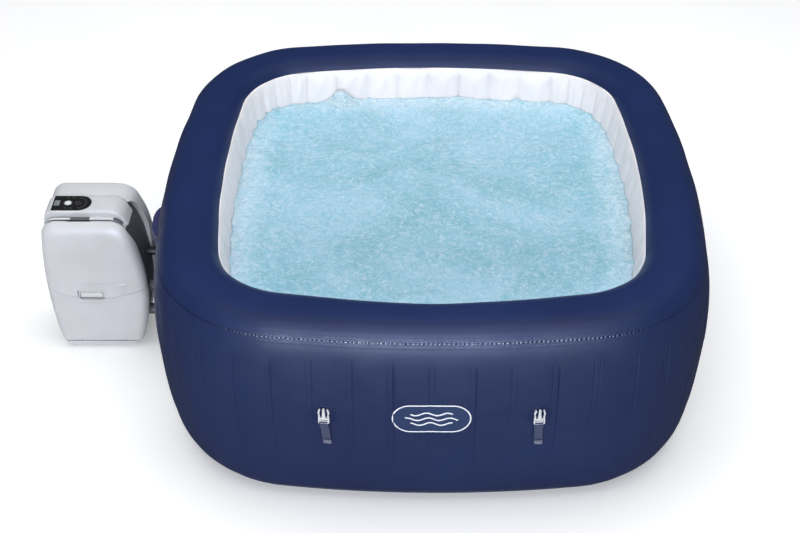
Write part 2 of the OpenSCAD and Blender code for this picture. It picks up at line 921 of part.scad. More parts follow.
module chassis_plate() {
    plate_w = 180;
    plate_d = 110;
    plate_z = pump_foot + core_inset + 5;
    post_h = inlet_z - 38 - plate_z;
    color("silver") {
        translate([pump_x - plate_w / 2, pump_y - plate_d / 2, plate_z]) cube([plate_w, plate_d, 3]);
        for (x = [pump_x - 10, pump_x + 60]) {
            translate([x, port_y - 15, plate_z]) cube([8, 30, post_h]);
        }
    }
}

module control_box() {
    color("whitesmoke") difference() {
        box_between([pump_x - 95, pump_y - 45, 440], [pump_x + 75, pump_y + 45, 500]);
        box_between([pump_x - 92, pump_y - 42, 443], [pump_x + 72, pump_y + 42, 497]);
    }
}

module pump_volute() {
    color("darkgray") difference() {
        union() {
            rod_x(volute_x0, volute_x1, port_y, inlet_z, 44);
            translate([volute_x0 + 22, port_y, inlet_z + 38]) cylinder(h = 14, r = 12);
        }
        rod_x(volute_x0 + 3, volute_x1 - 3, port_y, inlet_z, 40);
        rod_x(volute_x1 - 4, volute_x1 + 1, port_y, inlet_z, water_r);
        rod_x(volute_x0 - 1, volute_x0 + 4, port_y, inlet_z, 6);
        translate([volute_x0 + 22, port_y, inlet_z + 30]) cylinder(h = 30, r = hose_r - 2);
    }
}

module pump_impeller() {
    vanes = 7;
    color("ivory") {
        rod_x(volute_x0 - 95, volute_x0 + 30, port_y, inlet_z, shaft_r);
        rod_x(volute_x0 + 9, volute_x0 + 12, port_y, inlet_z, 33);
        for (i = [0:vanes - 1]) {
            translate([volute_x0 + 11, port_y, inlet_z]) rotate([i * 360 / vanes, 0, 0])
                translate([0, 3, -1]) cube([14, 28, 2]);
        }
    }
}

module pump_motor() {
    fins = 12;
    color("silver") difference() {
        union() {
            rod_x(volute_x0 - 105, volute_x0 - 2, port_y, inlet_z, 33);
            for (i = [0:fins - 1]) {
                translate([volute_x0 - 95, port_y, inlet_z]) rotate([i * 360 / fins, 0, 0])
                    translate([0, 31, -1]) cube([80, 5, 2]);
            }
        }
        rod_x(volute_x0 - 98, volute_x0, port_y, inlet_z, shaft_r + 0.05);
    }
}

module bend(angle, bend_r) {
    rotate([90, 0, 0]) rotate_extrude(angle = angle) translate([bend_r, 0]) difference() {
        circle(r = hose_r, $fn = 32);
        circle(r = hose_r - 2, $fn = 32);
    }
}

// The hose from the volute, back under the heater and up into its far end.
module pump_hose() {
    bend_r = 12;
    rise_x = volute_x0 + 22;
    rise_z = inlet_z + 52;
    run_z = rise_z + bend_r;
    back_r = (outlet_z - run_z) / 2;
    color("dimgray") {
        translate([rise_x - bend_r, port_y, rise_z]) bend(90, bend_r);
        ring_x(heater_x0 - 2, rise_x - bend_r, port_y, run_z, hose_r, hose_r - 2);
        translate([heater_x0 - 2, port_y, run_z + back_r]) rotate([0, -90, 0]) bend(180, back_r);
    }
}

module heater_tube() {
    color("silver") difference() {
        rod_x(heater_x0, spigot_x - 1, port_y, outlet_z, 22);
        rod_x(heater_x0 + 3, spigot_x - 4, port_y, outlet_z, 19);
        rod_x(heater_x0 - 1, heater_x0 + 4, port_y, outlet_z, hose_r - 2);
        rod_x(spigot_x - 5, spigot_x, port_y, outlet_z, water_r);
    }
}

module blower_housing() {
    color("gray") difference() {
        union() {
            translate([blower_x, pump_y, blower_z0]) cylinder(h = blower_h, r = blower_r);
            rod_x(blower_x + 30, spigot_x - 1, air_y, air_z, air_r + 3);
        }
        translate([blower_x, pump_y, blower_z0 + 3]) cylinder(h = blower_h - 6, r = blower_r - 3);
        translate([blower_x, pump_y, blower_z0 + 10]) cylinder(h = blower_h, r = 24);
        translate([blower_x, pump_y, blower_z0 - 1]) cylinder(h = 10, r = 3.05);
        rod_x(blower_x + 30, spigot_x + 1, air_y, air_z, air_r);
    }
}

module blower_fan() {
    blades = 18;
    color("ivory") {
        translate([blower_x, pump_y, blower_z0 - 8]) cylinder(h = 34, r = 3);
        translate([blower_x, pump_y, blower_z0 + 8]) cylinder(h = 2.5, r = 50);
        for (i = [0:blades - 1]) {
            translate([blower_x, pump_y, blower_z0 + 9]) rotate(i * 360 / blades)
                translate([32, -1, 0]) cube([17, 2, 26]);
        }
    }
}

ground_sheet();
floor_liner();
outer_wall();
top_ring();
inner_wall();
wall_beams();
perimeter_welt();
bubble_channel();
air_riser();
carry_handle();
emblem_patch();
buckle_patches();
front_left_buckle();
front_right_buckle();
rear_left_buckle();
rear_right_buckle();
front_left_strap();
front_right_strap();
rear_left_strap();
rear_right_strap();
drain_flange();
drain_cap();
drain_tether();
inflation_valve();
inflation_valve_cap();
inlet_port();
outlet_port();
air_port();
port_gaskets();
inlet_union_nut();
outlet_union_nut();
air_union_nut();
outlet_screen();
filter_housing();
filter_cartridge();
filter_cap();
core_casing();
front_shell();
rear_shell();
lower_cover();
cover_latch();
cover_hinge_pin();
top_bridge();
control_panel();
display_window();
power_button();
pump_feet();
case_screws();
cord_gland();
chassis_plate();
control_box();
water_spigots();
air_spigot();
pump_volute();
pump_impeller();
pump_motor();
pump_hose();
heater_tube();
blower_housing();
blower_fan();
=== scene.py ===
"""Looks of the square inflatable hot tub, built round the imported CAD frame. All lengths in metres."""

import math

import bmesh
import bpy
import numpy as np
from mathutils import Matrix, Vector


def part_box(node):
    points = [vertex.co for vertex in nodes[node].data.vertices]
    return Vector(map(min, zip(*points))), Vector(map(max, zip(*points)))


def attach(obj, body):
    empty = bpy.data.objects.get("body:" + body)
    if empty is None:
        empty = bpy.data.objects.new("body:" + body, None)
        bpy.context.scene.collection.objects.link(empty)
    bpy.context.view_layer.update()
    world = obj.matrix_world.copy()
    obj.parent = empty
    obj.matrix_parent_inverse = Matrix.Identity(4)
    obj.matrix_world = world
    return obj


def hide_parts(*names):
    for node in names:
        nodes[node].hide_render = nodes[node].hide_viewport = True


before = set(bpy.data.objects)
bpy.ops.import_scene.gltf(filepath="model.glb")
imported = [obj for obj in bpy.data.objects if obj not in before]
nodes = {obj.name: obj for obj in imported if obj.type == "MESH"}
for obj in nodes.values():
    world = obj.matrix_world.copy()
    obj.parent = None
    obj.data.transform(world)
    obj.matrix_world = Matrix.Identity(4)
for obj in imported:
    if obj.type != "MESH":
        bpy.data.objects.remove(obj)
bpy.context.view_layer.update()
rng = np.random.default_rng(7)

MM = 0.001

# ---- Sizes of the tub, as in the CAD model -------------------------------------------------
HALF_W = 0.9
TUB_H = 0.71
WALL_T = 0.24
CORNER_R = 0.452
BOW_R = 3.73
TAPER = 0.02
TAPER_TOP = 0.426
POWER = 3.16
GROUND_T = 0.003
SEAM_A, RIM_A, FOOT_A = 51.4, 124.9, 262.0
SIDE_BEAMS, CORNER_BEAMS = 8, 5
SKIN_T = 0.002
BOW_D = BOW_R - HALF_W
CORNER_C = (-BOW_D + math.sqrt(2 * (BOW_R - CORNER_R) ** 2 - BOW_D**2)) / 2
JOIN_A = math.atan2(CORNER_C + BOW_D, CORNER_C)
CELLS = 4 * (SIDE_BEAMS + CORNER_BEAMS)
WATER_Z = 0.548

# ---- Camera, lights and floor --------------------------------------------------------------


def make_camera():
    """The camera stands in front of the tub and looks down at it."""
    pitch, yaw, roll = math.radians(37.30), math.radians(0.656), math.radians(-0.206)
    data = bpy.data.cameras.new("camera")
    data.sensor_width = 36.0
    data.lens = 63.66
    camera = bpy.data.objects.new("camera", data)
    turn = Matrix.Rotation(yaw, 4, "Z") @ Matrix.Rotation(math.pi / 2 - pitch, 4, "X")
    turn = turn @ Matrix.Rotation(roll, 4, "Z")
    camera.matrix_world = Matrix.Translation((-0.0563, -3.9275, 3.2663)) @ turn
    bpy.context.scene.collection.objects.link(camera)
    bpy.context.scene.camera = camera


def area_light(name, place, target, size, power, diffuse=True, glossy=True, colour=(1, 1, 1)):
    data = bpy.data.lights.new(name, "AREA")
    data.shape = "RECTANGLE"
    data.size, data.size_y = size
    data.energy = power
    data.color = colour
    light = bpy.data.objects.new(name, data)
    light.location = place
    light.rotation_mode = "QUATERNION"
    light.rotation_quaternion = (Vector(target) - Vector(place)).to_track_quat("-Z", "Y")
    light.visible_diffuse, light.visible_glossy = diffuse, glossy
    bpy.context.scene.collection.objects.link(light)


def make_lights():
    area_light("front", (-0.6, -5.6, 1.9), (0, -0.8, 0.62), (4.4, 1.0), 150, glossy=False)
    area_light("overhead", (0.0, 0.2, 5.6), (0, 0.1, 0.3), (8.0, 6.5), 385, glossy=False)
    area_light("sheen", (0.0, -3.4, 4.6), (0, 0.4, 0.6), (5.0, 1.0), 70, diffuse=False)
    bluish = (0.62, 0.72, 1.0)
    area_light("shoulder", (-0.15, -5.4, 1.66), (0, -0.9, 0.65), (3.6, 1.6), 560, False, colour=bluish)
    area_light("seam_line", (-0.72, -5.2, 1.52), (-0.3, -0.9, 0.65), (1.2, 0.2), 60, diffuse=False)
    world = bpy.data.worlds.new("studio")
    bpy.context.scene.world = world
    world.use_nodes = True
    backdrop = world.node_tree.nodes["Background"]
    backdrop.inputs["Color"].default_value = (0.92, 0.95, 1.0, 1)
    backdrop.inputs["Strength"].default_value = 0.12
    bpy.context.scene.view_settings.view_transform = "Standard"
    bpy.context.scene.view_settings.look = "None"


# ---- Materials -----------------------------------------------------------------------------


def srgb(r, g, b):
    """A linear colour from sRGB values of 0 to 255."""
    out = [c / 255 / 12.92 if c <= 10 else ((c / 255 + 0.055) / 1.055) ** 2.4 for c in (r, g, b)]
    return (*out, 1.0)


class Shader:
    """A small builder for one node material."""

    def __init__(self, name, base, rough, specular=0.5, coords="Object"):
        self.mat = bpy.data.materials.new(name)
        self.mat.use_nodes = True
        self.tree = self.mat.node_tree
        self.bsdf = self.tree.nodes["Principled BSDF"]
        self.bsdf.inputs["Base Color"].default_value = base
        self.bsdf.inputs["Roughness"].default_value = rough
        self.bsdf.inputs["Specular IOR Level"].default_value = specular
        self.coords = self.tree.nodes.new("ShaderNodeTexCoord").outputs[coords]
        self.mat.diffuse_color = base

    def add(self, kind, inputs=None, **props):
        made = self.tree.nodes.new("ShaderNode" + kind)
        for key, value in props.items():
            setattr(made, key, value)
        for key, value in (inputs or {}).items():
            if isinstance(value, bpy.types.NodeSocket):
                self.tree.links.new(value, made.inputs[key])
            else:
                made.inputs[key].default_value = value
        return made

    def link(self, source, socket):
        self.tree.links.new(source, self.bsdf.inputs[socket])

    def noise(self, scale, detail=3.0, vector=None, stretch=None, distortion=0.0, rough=0.55):
        source = vector or self.coords
        if stretch:
            source = self.add("Mapping", {"Vector": source, "Scale": stretch}).outputs[0]
        inputs = {"Vector": source, "Scale": scale, "Detail": detail, "Distortion": distortion}
        return self.add("TexNoise", {**inputs, "Roughness": rough}).outputs[0]

    def spread(self, value, low, high, to_low=0.0, to_high=1.0, smooth=False):
        made = self.add(
            "MapRange",
            {"Value": value, "From Min": low, "From Max": high, "To Min": to_low, "To Max": to_high},
            interpolation_type="SMOOTHSTEP" if smooth else "LINEAR",
        )
        return made.outputs[0]

    def math(self, operation, a, b=0.0):
        made = self.add("Math", {0: a, 1: b}, operation=operation)
        return made.outputs[0]

    def mix(self, factor, a, b):
        made = self.add("Mix", data_type="RGBA")
        for index, value in ((0, factor), (6, a), (7, b)):
            if isinstance(value, bpy.types.NodeSocket):
                self.tree.links.new(value, made.inputs[index])
            else:
                made.inputs[index].default_value = value
        return made.outputs[2]

    def bump(self, height, strength, distance, normal=None):
        inputs = {"Height": height, "Strength": strength, "Distance": distance}
        if normal:
            inputs["Normal"] = normal
        return self.add("Bump", inputs).outputs[0]

    def colour_noise(self, a, b, scale, low=0.35, high=0.65, **more):
        mask = self.spread(self.noise(scale, **more), low, high, smooth=True)
        return self.mix(mask, a, b)


def tint(colour, factor):
    return (*[min(1.0, c * factor) for c in colour[:3]], 1.0)


def moulded(name, colour, rough, grain=900.0, grain_depth=0.04, specular=0.45, edge_pale=0.12, cloud=7.0):
    """A moulded plastic: fine spark-eroded grain, faint clouding, and slightly paler sharp edges, broken up
    by noise.
    """
    s = Shader(name, colour, rough, specular)
    cloud_mask = s.spread(s.noise(cloud, 4.0), 0.3, 0.7, smooth=True)
    base = s.mix(cloud_mask, tint(colour, 0.955), tint(colour, 1.035))
    # Paler on sharp convex edges (Pointiness), broken up by noise; edge_pale sets how much.
    edge = s.spread(s.add("NewGeometry").outputs["Pointiness"], 0.52, 0.60)
    edge_breakup = s.spread(s.noise(55.0, 5.0), 0.45, 0.65)
    pale_edge_mask = s.math("MULTIPLY", s.math("MULTIPLY", edge, edge_breakup), edge_pale)
    s.link(s.mix(pale_edge_mask, base, tint(colour, 1.5)), "Base Color")
    s.link(s.spread(s.noise(28.0, 5.0), 0.25, 0.75, rough - 0.05, rough + 0.07), "Roughness")
    fine = s.bump(s.noise(grain, 2.0), grain_depth, 0.0004)
    s.link(s.bump(s.noise(11.0, 2.0), 0.05, 0.004, fine), "Normal")
    return s.mat


def metal(name, colour, rough, brushed=(1.0, 60.0, 60.0)):
    """Brushed metal, with the brushing drawn out along X."""
    s = Shader(name, colour, rough)
    s.bsdf.inputs["Metallic"].default_value = 1.0
    streak = s.noise(30.0, 4.0, stretch=brushed)
    s.link(s.mix(s.spread(streak, 0.3, 0.7), tint(colour, 0.8), tint(colour, 1.1)), "Base Color")
    s.link(s.spread(streak, 0.2, 0.8, rough - 0.08, rough + 0.12), "Roughness")
    s.link(s.bump(streak, 0.08, 0.0005), "Normal")
    return s.mat


def pvc_skin(name, colour, rough, specular, seam_at=None, painted_light_glow=0.0):
    """Laminated PVC: leathery embossing, faint blotches, creases, and puckers beside the perimeter weld.
    painted_light_glow is painted light: a faint self-glow that lightens the skin.
    """
    s = Shader(name, colour, rough, specular)
    blotch = s.spread(s.noise(2.3, 3.0, distortion=0.4), 0.3, 0.7, smooth=True)
    base = s.mix(blotch, tint(colour, 0.92), tint(colour, 1.06))
    # Painted light: the emission makes the skin glow faintly, lightening it beyond what the lamps give (used
    # on the white liner).
    s.bsdf.inputs["Emission Color"].default_value = (0.92, 0.93, 1.0, 1)
    s.bsdf.inputs["Emission Strength"].default_value = painted_light_glow
    speck = s.spread(s.noise(160.0, 2.0), 0.66, 0.8)
    base = s.mix(s.math("MULTIPLY", speck, 0.16), base, tint(colour, 1.9))
    s.link(base, "Base Color")
    s.link(s.spread(s.noise(17.0, 4.0), 0.25, 0.75, rough - 0.05, rough + 0.07), "Roughness")
    cells = s.add("TexVoronoi", {"Vector": s.coords, "Scale": 620.0}, feature="F1").outputs["Distance"]
    normal = s.bump(cells, 0.10, 0.0003)
    normal = s.bump(s.noise(5.5, 4.0, distortion=0.8), 0.10, 0.006, normal)
    if seam_at is not None:
        uv = s.add("TexCoord").outputs["UV"]
        parts = s.add("SeparateXYZ", {"Vector": uv}).outputs
        away = s.math("ABSOLUTE", s.math("SUBTRACT", parts["Y"], seam_at))
        near = s.spread(away, 0.006, 0.022, 1.0, 0.0, smooth=True)
        stretched = {"X": s.math("MULTIPLY", parts["X"], 62.0), "Y": s.math("MULTIPLY", parts["Y"], 9.0)}
        pucker = s.noise(1.0, 2.0, vector=s.add("CombineXYZ", stretched).outputs[0])
        normal = s.bump(s.math("MULTIPLY", pucker, near), 0.3, 0.005, normal)
    s.link(normal, "Normal")
    return s.mat


def weld_material(name, colour, pitch):
    """The pinched perimeter weld: gathers at an even pitch painted dark as shade, and a narrow line painted a
    little lighter as a highlight, along a leathery strip with a glossy bead.
    """
    s = Shader(name, colour, 0.45, 0.28)
    parts = s.add("SeparateXYZ", {"Vector": s.add("TexCoord").outputs["UV"]}).outputs
    jitter = s.math("MULTIPLY", s.noise(60.0, 2.0), 3.0)
    beat = s.math("COSINE", s.math("ADD", s.math("MULTIPLY", parts["X"], 2 * math.pi / pitch), jitter))
    wander = s.math("ADD", parts["Y"], s.math("MULTIPLY", jitter, 0.0002))
    line = s.spread(s.math("ABSOLUTE", wander), 0.0030, 0.0016)
    painted_gather_shade = s.math("MULTIPLY", s.spread(beat, -0.1, 0.6, smooth=True), line)
    # painted highlight: along the seam line the colour is mixed toward a lighter navy
    base = s.mix(s.math("MULTIPLY", line, 0.2), colour, tint(colour, 1.5))
    # painted shade: the gathers are darkened nearly to black
    s.link(s.mix(s.math("MULTIPLY", painted_gather_shade, 0.9), base, tint(colour, 0.12)), "Base Color")
    bead = s.spread(s.math("ABSOLUTE", parts["Y"]), 0.0011, 0.0005)
    matt = s.spread(s.noise(40.0, 4.0), 0.3, 0.7, 0.40, 0.52)
    s.link(s.math("SUBTRACT", matt, s.math("MULTIPLY", bead, 0.32)), "Roughness")
    cells = s.add("TexVoronoi", {"Vector": s.coords, "Scale": 620.0}, feature="F1").outputs["Distance"]
    normal = s.bump(cells, 0.10, 0.0003)
    s.link(s.bump(s.math("SUBTRACT", 1.0, painted_gather_shade), 0.35, 0.001, normal), "Normal")
    return s.mat


def webbing(name, colour, across=0.0022, along=0.0026):
    """Woven polyester webbing: a herringbone of ribs from the UV map, whose units are metres."""
    s = Shader(name, colour, 0.78, 0.25)
    uv = s.add("TexCoord").outputs["UV"]
    parts = s.add("SeparateXYZ", {"Vector": uv}).outputs
    warp = s.math("SINE", s.math("MULTIPLY", parts["X"], 2 * math.pi / across))
    weft = s.math("SINE", s.math("MULTIPLY", parts["Y"], 2 * math.pi / along))
    weave = s.math("MULTIPLY", warp, weft)
    fuzz = s.noise(900.0, 3.0)
    shade = s.spread(s.math("ADD", weave, s.math("MULTIPLY", fuzz, 0.8)), -0.8, 1.6)
    s.link(s.mix(shade, tint(colour, 0.72), tint(colour, 1.28)), "Base Color")
    s.bsdf.inputs["Sheen Weight"].default_value = 0.25
    s.bsdf.inputs["Sheen Roughness"].default_value = 0.5
    s.link(s.bump(weave, 0.5, 0.0004, s.bump(fuzz, 0.3, 0.0003)), "Normal")
    return s.mat


def water_material():
    """Churned water: pale cyan, with clouds of small bubbles and a white edge where it laps the wall."""
    s = Shader("churned_water", srgb(150, 204, 222), 0.12, 0.5)
    s.bsdf.inputs["IOR"].default_value = 1.33
    deep, pale = srgb(128, 186, 204), srgb(160, 206, 229)
    milk, foam = srgb(196, 220, 238), srgb(250, 253, 255)
    parts = s.add("SeparateXYZ", {"Vector": s.coords}).outputs
    cloud = s.spread(s.noise(2.6, 5.0, rough=0.65, distortion=0.6), 0.34, 0.66, smooth=True)
    base = s.mix(cloud, deep, pale)
    fine = s.noise(70.0, 8.0, rough=0.8, distortion=1.2)
    streak = s.noise(26.0, 6.0, rough=0.7, distortion=2.2)
    base = s.mix(s.math("MULTIPLY", s.spread(fine, 0.44, 0.66), 0.55), base, milk)
    base = s.mix(s.math("MULTIPLY", s.spread(streak, 0.50, 0.62), 0.55), base, milk)
    base = s.mix(s.math("MULTIPLY", s.spread(streak, 0.46, 0.38), 0.30), base, srgb(120, 176, 198))
    cluster = s.spread(s.noise(13.0, 5.0, rough=0.7), 0.40, 0.62)
    mask = 0.0
    for scale, size in ((150.0, 0.26), (72.0, 0.17)):
        dots = s.add("TexVoronoi", {"Vector": s.coords, "Scale": scale}, feature="F1").outputs
        spot = s.spread(dots["Distance"], size, size * 0.5)
        where = s.math("MULTIPLY", cluster, s.spread(fine, 0.40, 0.54))
        mask = s.math("MAXIMUM", mask, s.math("MULTIPLY", spot, where))
    far_x, far_y = s.math("ABSOLUTE", parts["X"]), s.math("ABSOLUTE", parts["Y"])
    edge = s.spread(s.math("MAXIMUM", far_x, far_y), 0.52, 0.66, smooth=True)
    lace = s.math("MULTIPLY", edge, s.spread(s.noise(38.0, 8.0, rough=0.8, distortion=1.0), 0.36, 0.64))
    crest = s.spread(parts["Z"], WATER_Z + 0.008, WATER_Z + 0.030, 0.0, 0.6, smooth=True)
    crest = s.math("MULTIPLY", crest, s.spread(fine, 0.38, 0.62))
    mask = s.math("MAXIMUM", mask, s.math("MAXIMUM", s.math("MULTIPLY", lace, 0.5), crest))
    s.link(s.mix(mask, base, foam), "Base Color")
    s.link(s.spread(mask, 0.0, 1.0, 0.16, 0.5), "Roughness")
    normal = s.bump(s.math("ADD", streak, s.math("MULTIPLY", fine, 0.4)), 0.5, 0.007)
    s.link(s.bump(s.math("ADD", fine, mask), 0.3, 0.003, normal), "Normal")
    return s.mat


def fabric_media(name, colour):
    """Pleated filter fleece."""
    s = Shader(name, colour, 0.95, 0.1)
    fibre = s.noise(700.0, 4.0, stretch=(1.0, 1.0, 0.3))
    s.link(s.mix(s.spread(fibre, 0.3, 0.7), tint(colour, 0.86), colour), "Base Color")
    s.link(s.bump(fibre, 0.5, 0.0006), "Normal")
    return s.mat


MATERIALS = {
    "navy": pvc_skin("navy_pvc", srgb(25, 41, 85), 0.45, 0.28, seam_at=0.0),
    "navy_flat": pvc_skin("navy_patch_pvc", srgb(24, 39, 84), 0.42, 0.25),
    "weld": weld_material("weld_pvc", srgb(25, 41, 85), 0.013),
    # painted light: the white liner glows faintly to lighten it
    "liner": pvc_skin("white_pvc", srgb(238, 234, 236), 0.42, 0.3, painted_light_glow=0.06),
    "ground": pvc_skin("ground_pvc", srgb(44, 54, 86), 0.55, 0.3),
    "badge": pvc_skin("badge_pvc", srgb(36, 56, 98), 0.5, 0.25),
    "print": moulded("printed_white", srgb(232, 236, 246), 0.5, grain_depth=0.02),
    "beam": moulded("beam_sheet", srgb(222, 222, 226), 0.6),
    "webbing": webbing("navy_webbing", srgb(50, 60, 92)),
    "handle": webbing("handle_webbing", srgb(46, 50, 100), 0.003, 0.0035),
    "buckle": moulded("buckle_plastic", srgb(206, 209, 216), 0.38, grain=1400.0, edge_pale=0.25),
    "valve": moulded("valve_plastic", srgb(222, 224, 228), 0.4),
    "shell": moulded("shell_plastic", srgb(204, 206, 211), 0.42, grain=1300.0, grain_depth=0.05, edge_pale=0.15),
    "core": moulded("core_plastic", srgb(86, 88, 94), 0.5, grain=1100.0, edge_pale=0.3),
    "port": moulded("port_plastic", srgb(34, 34, 38), 0.45, edge_pale=0.35),
    "spigot": moulded("spigot_plastic", srgb(112, 114, 116), 0.42),
    "panel": moulded("panel_film", srgb(26, 26, 29), 0.22, grain_depth=0.02, edge_pale=0.1),
    "icon": moulded("icon_ink", srgb(96, 98, 102), 0.35, grain_depth=0.02),
    "display": moulded("display_window", srgb(132, 138, 140), 0.15, grain_depth=0.01),
    "button": moulded("button_cap", srgb(222, 226, 228), 0.3, grain_depth=0.02),
    "rubber": moulded("black_rubber", srgb(28, 28, 28), 0.8, grain_depth=0.12, specular=0.3),
    "steel": metal("brushed_steel", srgb(190, 190, 196), 0.32),
    "inner": moulded("inner_plastic", srgb(176, 179, 186), 0.5),
    "media": fabric_media("filter_fleece", srgb(240, 243, 248)),
    "water": water_material(),
}


# ---- Mesh helpers --------------------------------------------------------------------------


def new_object(name, verts, faces, smooth=True):
    mesh = bpy.data.meshes.new(name)
    mesh.from_pydata(verts.tolist() if isinstance(verts, np.ndarray) else verts, [], faces)
    mesh.polygons.foreach_set("use_smooth", [smooth] * len(mesh.polygons))
    mesh.update()
    made = bpy.data.objects.new(name, mesh)
    bpy.context.scene.collection.objects.link(made)
    return made


def grid_faces(rows, cols, wrap_cols=False, start=0):
    """Quads of a grid whose point (row, col) is number start + row * cols + col."""
    r = np.arange(rows - 1)[:, None]
    c = np.arange(cols if wrap_cols else cols - 1)[None, :]
    after = (c + 1) % cols
    quads = np.stack([r * cols + c, r * cols + after, (r + 1) * cols + after, (r + 1) * cols + c], -1)
    return (quads.reshape(-1, 4) + start).tolist()


def grid_object(name, points, wrap_cols=False, uv=None):
    """An object from a (rows, cols, 3) array of points, with a UV map from a (rows, cols, 2) array."""
    rows, cols = points.shape[:2]
    faces = grid_faces(rows, cols, wrap_cols)
    made = new_object(name, points.reshape(-1, 3), faces)
    if uv is not None:
        layer = made.data.uv_layers.new(name="UVMap")
        index = np.array([i for f in faces for i in f])
        flat = uv.reshape(-1, 2)[index].reshape(-1, 4, 2)
        if wrap_cols:
            jump = flat[:, :, 0].max(1) - flat[:, :, 0].min(1) > 1.0
            low = flat[:, :, 0] < flat[:, :, 0].max(1, keepdims=True) - 1.0
            flat[:, :, 0] += np.where(jump[:, None] & low, uv[0, -1, 0] + uv[0, 1, 0], 0.0)
        layer.data.foreach_set("uv", flat.reshape(-1))
    return made


def paint(piece, material):
    piece.data.materials.clear()
    piece.data.materials.append(MATERIALS[material])
    return piece


def place(piece, material, body="root", replaces=()):
    """The last step for each piece: its material, its body and the CAD nodes that it stands for."""
    paint(piece, material)
    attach(piece, body)
    if replaces:
        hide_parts(*replaces)
    return piece


def bake(piece):
    """Applies the piece's modifiers."""
    bpy.context.view_layer.update()
    evaluated = piece.evaluated_get(bpy.context.evaluated_depsgraph_get())
    mesh = bpy.data.meshes.new_from_object(evaluated)
    piece.modifiers.clear()
    old = piece.data
    piece.data = mesh
    bpy.data.meshes.remove(old)
    return piece


def boolean(piece, other, operation="DIFFERENCE"):
    """Cuts, joins or meets a piece with another, which is removed."""
    step = piece.modifiers.new("cut", "BOOLEAN")
    step.operation = operation
    step.object = other
    step.solver = "EXACT"
    bake(piece)
    bpy.data.objects.remove(other)
    return piece


def crisp(piece, angle=32.0):
    """Smooth shading with the edges sharper than the angle left hard."""
    mesh = piece.data
    work = bmesh.new()
    work.from_mesh(mesh)
    bmesh.ops.dissolve_degenerate(work, dist=2e-6, edges=work.edges)
    limit = math.radians(angle)
    for face in work.faces:
        face.smooth = True
    for edge in work.edges:
        edge.smooth = len(edge.link_faces) != 2 or edge.calc_face_angle(0.0) < limit
    work.to_mesh(mesh)
    work.free()
    return piece


def bevelled(piece, width, segments=3, angle=35.0):
    step = piece.modifiers.new("edges", "BEVEL")
    step.width = width
    step.segments = segments
    step.limit_method = "ANGLE"
    step.angle_limit = math.radians(angle)
    bake(piece)
    return crisp(piece, 40.0)


def thicken(piece, depth, offset=-1.0):
    step = piece.modifiers.new("thickness", "SOLIDIFY")
    step.thickness = depth
    step.offset = offset
    return bake(piece)


def join(name, parts):
    """One object from several, which are removed."""
    work = bmesh.new()
    for part in parts:
        part.data.transform(part.matrix_world)
        work.from_mesh(part.data)
        bpy.data.objects.remove(part)
    mesh = bpy.data.meshes.new(name)
    work.to_mesh(mesh)
    work.free()
    made = bpy.data.objects.new(name, mesh)
    bpy.context.scene.collection.objects.link(made)
    return made


def sealed(made, merge=0.0, ends=None, fill=False):
    """Merges points, closes a tube's ends (ring size, last ring) or holes, and turns the faces outward."""
    work = bmesh.new()
    work.from_mesh(made.data)
    if merge:
        bmesh.ops.remove_doubles(work, verts=work.verts, dist=merge)
    if ends:
        work.verts.ensure_lookup_table()
        count, last = ends
        for start in (0, last * count):
            work.faces.new([work.verts[start + i] for i in range(count)])
    if fill:
        bmesh.ops.holes_fill(work, edges=[e for e in work.edges if e.is_boundary])
    bmesh.ops.recalc_face_normals(work, faces=work.faces)
    work.to_mesh(made.data)
    work.free()
    return made


def prism(name, outline, y0, y1):
    """A solid between y0 and y1 of an outline of (x, z) points."""
    count = len(outline)
    verts = [(x, y0, z) for x, z in outline] + [(x, y1, z) for x, z in outline]
    faces = [list(range(count)), list(range(2 * count - 1, count - 1, -1))]
    faces += [[i, i + count, (i + 1) % count + count, (i + 1) % count] for i in range(count)]
    return sealed(new_object(name, verts, faces, smooth=False))


def lathe(name, profile, axis_point, axis, steps=48, closed=False):
    """A turned piece: profile is (distance along the axis, radius) points."""
    axis = Vector(axis).normalized()
    side = axis.orthogonal().normalized()
    other = axis.cross(side)
    verts = []
    for along, radius in profile:
        for i in range(steps):
            a = 2 * math.pi * i / steps
            spoke = side * math.cos(a) + other * math.sin(a)
            verts.append(Vector(axis_point) + axis * along + spoke * radius)
    rows = len(profile)
    faces = grid_faces(rows, steps, wrap_cols=True)
    if closed:
        last = (rows - 1) * steps
        faces += [[last + i, last + (i + 1) % steps, (i + 1) % steps, i] for i in range(steps)]
    else:
        faces += [list(range(steps))[::-1], [(rows - 1) * steps + i for i in range(steps)]]
    return sealed(new_object(name, [tuple(v) for v in verts], faces))


# ---- The wall's shape ----------------------------------------------------------------------


